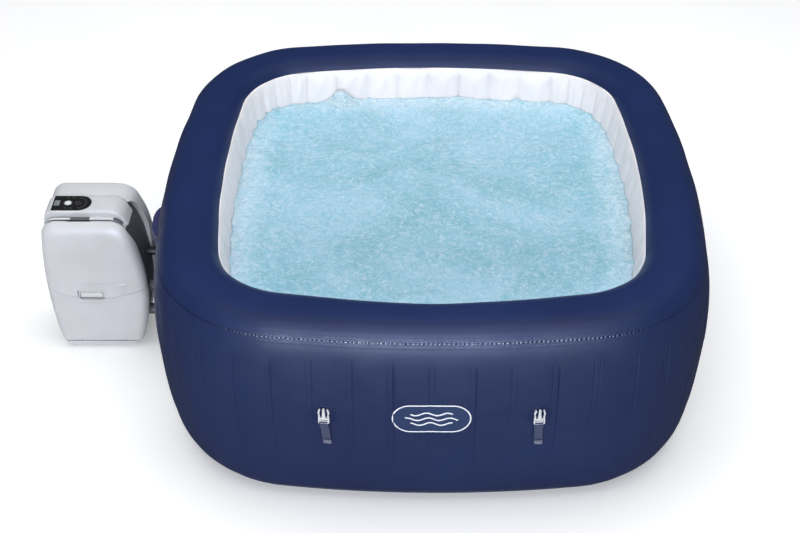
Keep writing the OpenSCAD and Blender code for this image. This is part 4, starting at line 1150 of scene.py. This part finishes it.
def carry_handle():
    """A folded strap that arches off the pump-side wall between two welded patches."""
    spot = WallSpot(1, 0.0, 0.450)
    half, gap, band = 0.100, 0.045, 0.040
    rows, uv = [], []
    steps = 61
    cross = [(-1, 0.0), (-0.98, 0.8), (-0.8, 1.0), (-0.45, 0.9), (-0.1, 0.75), (0.1, 0.75), (0.45, 0.95),
             (0.8, 1.0), (0.98, 0.8), (1, 0.0), (0.98, -0.8), (0.8, -1.0), (0.0, -0.9), (-0.8, -1.0),
             (-0.98, -0.8)]
    for i in range(steps):
        u = -1 + 2 * i / (steps - 1)
        reach = 0.134 * u
        arch = gap * max(0.0, 1 - (abs(reach) / half) ** 2.4) ** 0.8 if abs(reach) < half else 0.0
        pinch = 1 - 0.28 * math.exp(-((abs(reach) - half) ** 2) / 0.0004) - 0.10 * (1 - abs(u))
        roll = 0.25 * math.exp(-((abs(reach) - half) ** 2) / 0.002)
        row, row_uv = [], []
        for x, h in cross:
            up = x * band / 2 * pinch
            ripple = 0.0012 * math.sin(7 * x + 2.0 * u) * (abs(u) < 0.8)
            pad = 0.0018 + 0.0130 * smooth(arch, 0.012, 0.036)
            out = 0.0012 + arch - (pad - 0.0018) + h * pad + ripple + roll * 0.02 * x * x + 0.0018
            row.append((reach, out, up))
            row_uv.append((x * band / 2, reach))
        rows.append(row)
        uv.append(row_uv)
    rows = np.array(rows)
    points = spot.surface(rows[..., 0], rows[..., 2], rows[..., 1])
    strap_ = grid_object("carry_strap", points, wrap_cols=True, uv=np.array(uv))
    sealed(strap_, ends=(len(cross), steps - 1))
    place(crisp(strap_, 60.0), "handle", replaces=["carry_handle"])
    plates = []
    for end in (-1, 1):
        outline = rounded_rect(end * 0.118 - 0.030, -0.031, end * 0.118 + 0.030, 0.031, 0.010, 6)
        outline = fill_gaps(outline, 0.004)
        plates.append(wall_plate("patch", spot, outline, 0.0002, 0.0009))
        path = rounded_rect(end * 0.118 - 0.026, -0.027, end * 0.118 + 0.026, 0.027, 0.008, 6)
        plates.append(wall_ribbon("weld", spot, fill_gaps(path, 0.004), 0.002, 0.0009, 0.0005))
    place(join("handle_patches", plates), "navy_flat")


# ---- The pump unit -------------------------------------------------------------------------
PUMP_X, PUMP_Y = -1.142, 0.012
PUMP_W, PUMP_H, FOOT_Z = 0.346, 0.530, 0.006
OUTER_R, OUTER_Z = 1.5, 0.290
INNER_R, INNER_Z = 0.62, 0.250
BRIDGE_H = 0.546
FRONT_SPLIT, FRONT_V = 0.086, 0.136
FACE_Y = PUMP_Y - FRONT_V
BRIDGE_Y, BRIDGE_HALF = PUMP_Y - 0.022, 0.048
REAR_H, ROOF_V, SEAM_Z = 0.544, 0.027, 0.229
CORNERS = {"TL": 0.046, "TR": 0.070, "BR": 0.058, "BL": 0.052}


def pump_sides(inset, top, corners, counts):
    """The pump's front outline as four runs of points: left going up, top, right going down, bottom."""
    half = PUMP_W / 2
    left = (PUMP_X - half + OUTER_R, OUTER_Z, OUTER_R - inset, -1)
    right = (PUMP_X + half - INNER_R, INNER_Z, INNER_R - inset, 1)
    fillets = {}
    for key, arc, level, way in (("TL", left, top - inset, -1), ("TR", right, top - inset, -1),
                                 ("BR", right, FOOT_Z + inset, 1), ("BL", left, FOOT_Z + inset, 1)):
        cx, cz, radius, flip = arc
        r = max(corners[key] - inset, 0.004)
        z = level + way * r
        x = cx + flip * math.sqrt((radius - r) ** 2 - (z - cz) ** 2)
        fillets[key] = (x, z, r, math.atan2(z - cz, x - cx) % (2 * math.pi))

    def sweep(cx, cz, r, a0, a1, count=40):
        a = np.linspace(a0, a1, count)
        return np.stack([cx + r * np.cos(a), cz + r * np.sin(a)], -1)

    tl, tr, br, bl = (fillets[k] for k in ("TL", "TR", "BR", "BL"))
    up, down = math.pi / 2, 3 * math.pi / 2
    tr_a, br_a = (tr[3] + math.pi) % (2 * math.pi) - math.pi, (br[3] + math.pi) % (2 * math.pi) - math.pi
    mid = {
        "TL": (tl[3] + up) / 2, "TR": (tr_a + up) / 2, "BR": (br_a - up) / 2, "BL": (bl[3] + down) / 2,
    }
    runs = [
        [sweep(*bl[:3], mid["BL"], bl[3]), sweep(*left[:3], bl[3], tl[3], 160),
         sweep(*tl[:3], tl[3], mid["TL"])],
        [sweep(*tl[:3], mid["TL"], up), sweep(*tr[:3], up, mid["TR"])],
        [sweep(*tr[:3], mid["TR"], tr_a), sweep(*right[:3], tr_a, br_a, 160),
         sweep(*br[:3], br_a, mid["BR"])],
        [sweep(*br[:3], mid["BR"], -up), sweep(*bl[:3], down, mid["BL"])],
    ]
    out = []
    for parts, count in zip(runs, counts):
        line = np.vstack(parts)
        run = np.concatenate([[0], np.cumsum(np.hypot(*np.diff(line, axis=0).T))])
        run = run / run[-1]
        share = np.linspace(0, 1, count)
        out.append(np.stack([np.interp(share, run, line[:, 0]), np.interp(share, run, line[:, 1])], -1))
    return out


def coons(left, top, right, bottom):
    """A grid inside four runs of points: rows from the bottom up, columns from left to right."""
    right, bottom = right[::-1], bottom[::-1]
    v = np.linspace(0, 1, len(left))[:, None, None]
    u = np.linspace(0, 1, len(top))[None, :, None]
    sides = (1 - u) * left[:, None] + u * right[:, None]
    ends = (1 - v) * bottom[None] + v * top[None]
    low = (1 - u) * (1 - v) * bottom[0] + u * (1 - v) * bottom[-1]
    high = (1 - u) * v * top[0] + u * v * top[-1]
    return sides + ends - low - high


def seam_line(x, gap=0.0):
    """Height of the curved seam above the lower cover."""
    return SEAM_Z + 0.406 - np.sqrt((0.406 + gap) ** 2 - np.minimum(np.abs(x - PUMP_X), 0.3) ** 2)


LATCH_X, LATCH_Z = PUMP_X - 0.019, SEAM_Z + 0.012


def rect_distance(x, z, cx, cz, half_w, half_h, r):
    """Distance to a rounded rectangle's edge, negative inside."""
    dx, dz = np.abs(x - cx) - half_w + r, np.abs(z - cz) - half_h + r
    return np.hypot(np.maximum(dx, 0), np.maximum(dz, 0)) + np.minimum(np.maximum(dx, dz), 0) - r


def front_relief(x, z):
    """How far the face stands out of its plain crown: the lens-shaped band, latch bezel and a faint panel."""
    ledge = 0.2875
    low = SEAM_Z - 0.014 + 0.72 * (x - (PUMP_X - 0.02)) ** 2 / 0.30
    ends = smooth(x, -1.292, -1.262) * smooth(x, -1.030, -1.062)
    band = smooth(z, ledge + 0.0010, ledge - 0.0010) * smooth(z, low - 0.0018, low + 0.0018) * ends
    bezel = rect_distance(x, z, LATCH_X + 0.002, LATCH_Z + 0.001, 0.0425, 0.0165, 0.006)
    rim = smooth(bezel, 0.0030, 0.0005) * smooth(bezel, -0.0045, -0.0015)
    panel = smooth(rect_distance(x, z, -1.162, 0.124, 0.112, 0.085, 0.010), 0.0012, -0.0012)
    return 0.0052 * band + 0.0018 * rim - 0.0006 * panel


def settle(points, drawn_in, level):
    """Where the shell closes toward its face, the foot stays lower and the top rounds over further."""
    z = points[..., level]
    points[..., level] = z - drawn_in * (0.6 * smooth(z, 0.25, 0.03) + 0.75 * smooth(z, 0.40, 0.51))
    return points


FINE, COARSE = (221, 113, 221, 113), (61, 39, 61, 39)


def end_shell(name, inset=0.0, relief=None, counts=FINE, back_v=FRONT_SPLIT, top=0.5265, lip=True):
    """A closed end shell: round its outline from the split plane to the face, whose grid takes the relief."""
    face_in, face_v, side_v = 0.029, 0.0012, 0.106 if lip else 0.100
    profile = [(back_v, 0.0030), (back_v + 0.0008, 0.0010), (back_v + 0.0030, 0.0)]
    profile += [(0.1012, 0.0), (0.1016, 0.0), (0.1020, 0.0), (0.1024, 0.0)] if lip else [(0.095, 0.0)]
    for k in range(15):
        q = math.pi / 2 * k / 14
        profile.append((side_v + (FRONT_V - face_v - side_v) * math.sin(q), face_in * (1 - math.cos(q))))
    rings = []
    for v, drawn_in in profile:
        sides = pump_sides(inset + drawn_in, top, CORNERS, counts)
        line = settle(np.vstack([run[:-1] for run in sides]), drawn_in if v > 0.1 else 0, 1)
        if lip and v < 0.1018:
            sunk = pump_sides(inset + drawn_in + 0.0070, top, CORNERS, counts)
            share = smooth(line[:, 1:], 0.42, 0.49)
            line = line * (1 - share) + np.vstack([run[:-1] for run in sunk]) * share
        depth = np.full(len(line), PUMP_Y - v + inset * (v > 0.1))
        rings.append(np.column_stack([line[:, 0], depth, line[:, 1]]))
    rings = np.array(rings)
    sides = pump_sides(inset + face_in, top, CORNERS, counts)
    face = settle(coons(*sides), face_in, 1)
    rows, cols = face.shape[:2]
    u, w = np.linspace(-1, 1, cols)[None, :], np.linspace(-1, 1, rows)[:, None]
    crown = face_v * (1 - np.maximum(np.abs(u) ** 2.2, np.abs(w) ** 2.2))
    out = FRONT_V - face_v + crown - inset
    if relief is not None:
        fade = smooth(1 - np.maximum(np.abs(u), np.abs(w)), 0.0, 0.03)
        out = out + relief(face[..., 0], face[..., 1]) * fade
    face_points = np.dstack([face[..., 0], PUMP_Y - out, face[..., 1]])
    count = rings.shape[1]
    verts = [rings.reshape(-1, 3), face_points.reshape(-1, 3)]
    faces = grid_faces(len(rings), count, wrap_cols=True)
    faces += grid_faces(rows, cols, start=len(rings) * count)
    faces.append(list(range(count)))
    return sealed(new_object(name, np.vstack(verts), faces), merge=2e-5)


def cover_cutter(gap, rear_y, bottom):
    x = np.linspace(PUMP_X - 0.28, PUMP_X + 0.28, 141)
    top = [(a, float(seam_line(a, gap))) for a in x]
    outline = [(x[0], bottom), (x[-1], bottom), *top[::-1]]
    return prism("cutter", outline, FACE_Y - 0.02, rear_y)


def box_cutter(x, half, y0, y1, z0, z1, r):
    """A box with rounded upright edges seen from the front, half wide to each side of x."""
    return prism("cutter", rounded_rect(x - half, z0, x + half, z1, r), y0, y1)


HINGE_Y, HINGE_Z = -0.119, 0.041


def prism_x(name, outline, x0, x1):
    """A solid between two x values of an outline of (y, z) points."""
    count = len(outline)
    verts = [(x0, y, z) for y, z in outline] + [(x1, y, z) for y, z in outline]
    faces = [list(range(count)), list(range(count, 2 * count))[::-1]]
    faces += [[i, i + count, (i + 1) % count + count, (i + 1) % count] for i in range(count)]
    return sealed(new_object(name, verts, faces, smooth=False))


def hinge_barrel(x0, x1):
    wide = x1 - x0
    profile = [(0, 0.0021), (0, 0.0040), (0.0006, 0.0044)]
    profile += [(wide - 0.0006, 0.0044), (wide, 0.0040), (wide, 0.0021)]
    return lathe("barrel", profile, (x0, HINGE_Y, HINGE_Z), (1, 0, 0), 24, closed=True)


def front_shell():
    made = end_shell("front_shell_moulding", relief=front_relief)
    boolean(made, cover_cutter(-0.0006, PUMP_Y - 0.1024, 0.0360))
    boolean(made, box_cutter(LATCH_X, 0.0465, FACE_Y - 0.01, FACE_Y + 0.024, 0.19, SEAM_Z + 0.0385, 0.006))
    edge = [(-0.05, -0.01), (-0.05, 0.56), (-0.0745, 0.54), (-0.0745, 0.45), (-0.083, 0.388)]
    edge += [(-0.0905, 0.30), (-0.0905, -0.01)]
    boolean(made, prism_x("cutter", edge, PUMP_X - 0.3, PUMP_X + 0.3))
    # Painted shade: this pocket lays bare the dark core_edge so the slot reads as shadow; the core itself is
    # dark.
    slot = [(-1.222, 0.508), (-1.142, 0.508), (-1.126, 0.560), (-1.205, 0.560)]
    boolean(made, prism("cutter", slot, -0.0885, -0.0700))
    turns = [math.radians(15 * k) for k in range(24)]
    groove = [(HINGE_Y + 0.0078 * math.cos(a), HINGE_Z + 0.0078 * math.sin(a)) for a in turns]
    boolean(made, prism_x("cutter", groove, PUMP_X - 0.16, PUMP_X + 0.16))
    arms = []
    for x in (PUMP_X - 0.078, PUMP_X + 0.078):
        low, high = HINGE_Z - 0.0026, HINGE_Z + 0.004
        arm = box_cutter(x, 0.003, HINGE_Y + 0.0030, PUMP_Y - 0.1015, low, high, 0.0008)
        arms += [arm, hinge_barrel(x - 0.003, x + 0.003)]
    place(crisp(join("front_shell_moulding", [made, *arms])), "shell", replaces=["front_shell"])


def rear_shell():
    counts = (91, 57, 91, 57)
    made = end_shell("rear_shell_moulding", counts=counts, back_v=ROOF_V, top=REAR_H - 0.002, lip=False)
    made.data.transform(Matrix.Translation((0, 2 * PUMP_Y, 0)) @ Matrix.Scale(-1, 4, (0, 1, 0)))
    made.data.flip_normals()
    for vert in made.data.vertices:
        x, y, z = vert.co
        bulge = smooth(x, PUMP_X + 0.03, PUMP_X + 0.12) * smooth(z, 0.27, 0.46) * smooth(y, 0.0, 0.09)
        vert.co.x += 0.014 * bulge
    hole = lathe("cutter", [(0, 0.0094), (0.05, 0.0094)], (PUMP_X, PUMP_Y + FRONT_V - 0.03, 0.060), (0, 1, 0))
    boolean(made, hole)
    edge = [(0.0, -0.01), (0.062, -0.01), (0.062, 0.30), (0.072, 0.36), (0.080, 0.40), (0.079, 0.455)]
    edge += [(0.070, 0.490), (0.058, 0.508), (0.048, 0.517), (0.0, 0.519)]
    boolean(made, prism_x("cutter", edge, PUMP_X - 0.3, PUMP_X + 0.3))
    for inset, deep in ((0.0076, 0.100), (0.034, 0.140)):
        room = np.vstack([run[:-1] for run in pump_sides(inset, PUMP_H, CORNERS, (60, 40, 60, 40))])
        boolean(made, prism("cutter", [tuple(p) for p in room], 0.0, deep))
    place(crisp(made), "shell", replaces=["rear_shell"])


def bridge_rail():
    """A light rail that closes the slot in front of the bridge, except at its outer half."""
    made = []
    for x0, x1, front in ((-1.40, -1.205, -0.0640), (-1.142, -0.95, BRIDGE_Y - BRIDGE_HALF - 0.0004)):
        outer = [tuple(p) for p in bridge_path(0.0060, 0.5305, CORNERS, (60, 120, 60)) if x0 < p[0] < x1]
        inner = [tuple(p) for p in bridge_path(0.0078, PUMP_H, CORNERS, (60, 120, 60)) if x0 < p[0] < x1]
        made.append(prism("rail", outer + inner[::-1], -0.0742, front))
    place(crisp(join("bridge_rail", made)), "shell")


def core_edge():
    """The dark core carries on under the front shell's slanted rear edge; where the slot in the front shell
    lays it bare, its dark top also stands in for the shade in the slot.
    """
    line = np.vstack([run[:-1] for run in pump_sides(0.0080, 0.5190, CORNERS, (60, 40, 60, 40))])
    place(crisp(prism("core_edge", [tuple(p) for p in line], -0.0915, -0.0738)), "core")


def lower_cover():
    made = end_shell("lower_cover_moulding", relief=front_relief)
    inner = end_shell("inner", inset=0.003, counts=COARSE)
    boolean(made, cover_cutter(0.0005, PUMP_Y - 0.1046, 0.0371), "INTERSECT")
    boolean(made, inner)
    boss = end_shell("boss", counts=COARSE)
    block = box_cutter(LATCH_X, 0.045, FACE_Y - 0.004, FACE_Y + 0.012, SEAM_Z - 0.016, SEAM_Z + 0.037, 0.006)
    boolean(boss, block, "INTERSECT")
    boolean(made, boss, "UNION")
    low, high = LATCH_Z - 0.016, LATCH_Z + 0.012
    boolean(made, box_cutter(LATCH_X, 0.0395, FACE_Y - 0.01, FACE_Y + 0.009, low, high, 0.003))
    for x in (PUMP_X - 0.078, PUMP_X + 0.078):
        notch = box_cutter(x, 0.0038, HINGE_Y - 0.01, HINGE_Y + 0.01, 0.030, HINGE_Z + 0.0052, 0.0008)
        boolean(made, notch)
    barrels = [hinge_barrel(x - 0.008, x + 0.008) for x in (PUMP_X - 0.062, PUMP_X + 0.062)]
    place(crisp(join("lower_cover_moulding", [made, *barrels])), "shell", "cover", ["lower_cover"])


def latch():
    low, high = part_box("cover_latch")
    made = prism("cover_latch_tab", rounded_rect(low.x, low.z, high.x, high.z, 0.003, 6), low.y, high.y)
    outline = rounded_rect(low.x + 0.004, high.z - 0.0055, high.x - 0.004, high.z - 0.0025, 0.0014, 4)
    ridge = prism("ridge", outline, low.y - 0.0011, low.y + 0.002)
    place(bevelled(join("cover_latch_tab", [made, ridge]), 0.0007), "button", "latch", ["cover_latch"])


def bridge_path(inset, top, corners, counts=(20, 60, 40)):
    """From the left side at the band's low edge, over the top and down the right side."""
    band_low = 0.455
    left, over, right, _ = pump_sides(inset, top, corners, (400, 400, 400, 10))
    left = left[left[:, 1] > band_low - 0.055]
    right = right[right[:, 1] > band_low + 0.032]
    out = []
    for line, count in ((left, counts[0]), (over, counts[1]), (right, counts[2])):
        run = np.concatenate([[0], np.cumsum(np.hypot(*np.diff(line, axis=0).T))])
        share = np.linspace(0, run[-1], count)
        out.append(np.stack([np.interp(share, run, line[:, 0]), np.interp(share, run, line[:, 1])], -1))
    return np.vstack([out[0][:-1], out[1][:-1], out[2]])


def panel_shape(grow=0.0, steps=24):
    """The control panel: flat at the outer end, a half circle at the other. (x, y) points."""
    x0, length, wide = PUMP_X - 0.130, 0.130, 0.084
    r = wide / 2
    points = [(x0 - grow, BRIDGE_Y - r - grow)]
    for k in range(steps + 1):
        a = -math.pi / 2 + math.pi * k / steps
        points.append((x0 + length - r + (r + grow) * math.cos(a), BRIDGE_Y + (r + grow) * math.sin(a)))
    points.append((x0 - grow, BRIDGE_Y + r + grow))
    return points


def rectangle(x0, y0, x1, y1):
    return [(x0, y0), (x1, y0), (x1, y1), (x0, y1)]


def slab_z(name, outline, z0, z1):
    """A solid between two heights of an outline of (x, y) points."""
    count = len(outline)
    verts = [(x, y, z0) for x, y in outline] + [(x, y, z1) for x, y in outline]
    faces = [list(range(count))[::-1], list(range(count, 2 * count))]
    faces += [[i, (i + 1) % count, (i + 1) % count + count, i + count] for i in range(count)]
    return new_object(name, verts, faces, smooth=False)


def top_bridge():
    """The band over the top: rounded long edges, a recess for the panel and a bore for the button."""
    outer = bridge_path(0.0, BRIDGE_H, {"TL": 0.030, "TR": 0.060, "BR": 0.05, "BL": 0.05})
    inner = bridge_path(0.0076, PUMP_H, CORNERS)
    half, edge = BRIDGE_HALF, 0.0085
    cross = []
    for k in range(9):
        q = math.pi / 2 * k / 8
        cross.append((-half + edge * (1 - math.cos(q)), edge * (1 - math.sin(q))))
    cross += [(y, 0.0) for y in np.linspace(-half + 0.02, half - 0.02, 9)]
    cross += [(-y, d) for y, d in cross[8::-1]]
    rows = []
    for o, i in zip(outer, inner):
        depth = np.linalg.norm(i - o)
        row = [(i[0], -half, i[1])]
        for y, d in cross:
            share = min(d, 0.85 * depth) / depth
            p = o + (i - o) * share
            row.append((p[0], y, p[1]))
        row.append((i[0], half, i[1]))
        rows.append(row)
    points = np.array(rows)
    points[..., 1] += BRIDGE_Y
    made = grid_object("top_bridge_moulding", points, wrap_cols=True)
    sealed(made, ends=(points.shape[1], len(points) - 1))
    boolean(made, slab_z("cutter", panel_shape(0.0022), BRIDGE_H - 0.0012, BRIDGE_H + 0.01))
    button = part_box("power_button")
    middle = (button[0] + button[1]) / 2
    bore = lathe("cutter", [(0, 0.0124), (0.05, 0.0124)], (middle.x, middle.y, BRIDGE_H - 0.008), (0, 0, 1))
    boolean(made, bore)
    place(crisp(made), "shell", replaces=["top_bridge"])


def control_panel():
    """The dark membrane with its window, round button, ring of small marks and a bezel."""
    middle = (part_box("power_button")[0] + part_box("power_button")[1]) / 2
    made = slab_z("control_panel_film", panel_shape(), BRIDGE_H - 0.0011, BRIDGE_H + 0.0009)
    foot = (middle.x, middle.y, BRIDGE_H - 0.01)
    boolean(made, lathe("cutter", [(0, 0.0124), (0.02, 0.0124)], foot, (0, 0, 1)))
    low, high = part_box("display_window")
    window = rectangle(low.x - 0.0002, low.y - 0.0002, high.x + 0.0002, high.y + 0.0002)
    boolean(made, slab_z("cutter", window, BRIDGE_H - 0.003, BRIDGE_H + 0.005))
    place(bevelled(made, 0.0004, 2), "panel", replaces=["control_panel"])
    marks = []
    level = BRIDGE_H + 0.0009

    def ring_mark(x, y, r, wide):
        profile = [(0, r - wide), (0.0003, r - wide), (0.0003, r), (0, r)]
        marks.append(lathe("mark", profile, (x, y, level - 0.0001), (0, 0, 1), 32, closed=True))

    ring_mark(middle.x, middle.y, 0.0150, 0.0007)
    ring_mark(middle.x + 0.034, middle.y, 0.0095, 0.0009)
    ring_mark(middle.x + 0.034, middle.y, 0.0050, 0.0006)
    for k in range(7):
        a = math.radians(-78 + 26 * k)
        ring_mark(middle.x + 0.034 + 0.0265 * math.cos(a), middle.y + 0.029 * math.sin(a), 0.0040, 0.0006)
    for x in (-0.004, 0.014):
        for side in (-1, 1):
            ring_mark(middle.x + x, middle.y + side * 0.030, 0.0042, 0.0006)
    place(join("panel_marks", marks), "icon")
    digits = []
    for k in (-1, 1):
        centre = (low.y + high.y) / 2 + k * 0.0062
        for along in (-0.0045, 0.0, 0.0045):
            x = (low.x + high.x) / 2 + along
            bar = rectangle(x - 0.0005, centre - 0.0035, x + 0.0005, centre + 0.0035)
            digits.append(slab_z("bar", bar, high.z - 0.0001, high.z + 0.0002))
    place(join("display_bars", digits), "panel")
    low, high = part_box("power_button")
    tall = high.z - low.z
    profile = [(0, 0.0119), (tall - 0.0014, 0.0119), (tall - 0.0005, 0.0115), (tall - 0.0001, 0.0106)]
    profile += [(tall, 0.0095), (tall - 0.0002, 0.0085), (tall - 0.0005, 0.0060), (tall - 0.0006, 0.0020)]
    cap = lathe("power_button_cap", profile, (middle.x, middle.y, low.z), (0, 0, 1), 56)
    place(crisp(cap, 50.0), "button", "button", ["power_button"])


# ---- Everything that keeps its CAD shape ---------------------------------------------------
CAD_LOOKS = {
    "liner": ["bubble_channel", "air_riser"],
    "valve": ["drain_flange", "drain_cap", "drain_tether", "outlet_screen", "filter_housing", "filter_cap"],
    "spigot": ["inflation_valve", "water_spigots"],
    "port": ["inflation_valve_cap", "air_spigot", "inlet_port", "outlet_port", "air_port", "inlet_union_nut",
             "outlet_union_nut", "air_union_nut", "cord_gland"],
    "rubber": ["port_gaskets", "pump_feet", "pump_hose"],
    "media": ["filter_cartridge"],
    "core": ["core_casing"],
    "steel": ["cover_hinge_pin", "case_screws", "pump_motor", "heater_tube"],
    "display": ["display_window"],
    "inner": ["chassis_plate", "control_box", "pump_volute", "pump_impeller", "blower_housing", "blower_fan"],
}


def dress_cad_nodes():
    for look, names in CAD_LOOKS.items():
        for name in names:
            for slot in nodes[name].material_slots:
                slot.material = MATERIALS[look]


def make_floor():
    s = Shader("studio_floor", (0.93, 0.935, 0.945, 1), 0.9, 0.1)
    s.link(s.colour_noise((0.93, 0.935, 0.945, 1), (0.95, 0.953, 0.96, 1), 1.3), "Base Color")
    s.bsdf.inputs["Emission Color"].default_value = (1, 1, 1, 1)
    s.bsdf.inputs["Emission Strength"].default_value = 0.24
    corners = [(x, y, 0) for x, y in rectangle(-30, -30, 30, 30)]
    floor = new_object("studio_floor", corners, [[0, 1, 2, 3]])
    floor.data.materials.append(s.mat)
    floor.visible_glossy = False


make_camera()
make_lights()
make_floor()
tub_ring = tub_skins()
beam_sheets(tub_ring)
perimeter_weld()
water(tub_ring)
flat_sheets(tub_ring)
badge()
for buckle_name in BUCKLES:
    buckle(buckle_name)
    strap(buckle_name)
patches()
carry_handle()
front_shell()
rear_shell()
core_edge()
bridge_rail()
lower_cover()
latch()
top_bridge()
control_panel()
dress_cad_nodes()
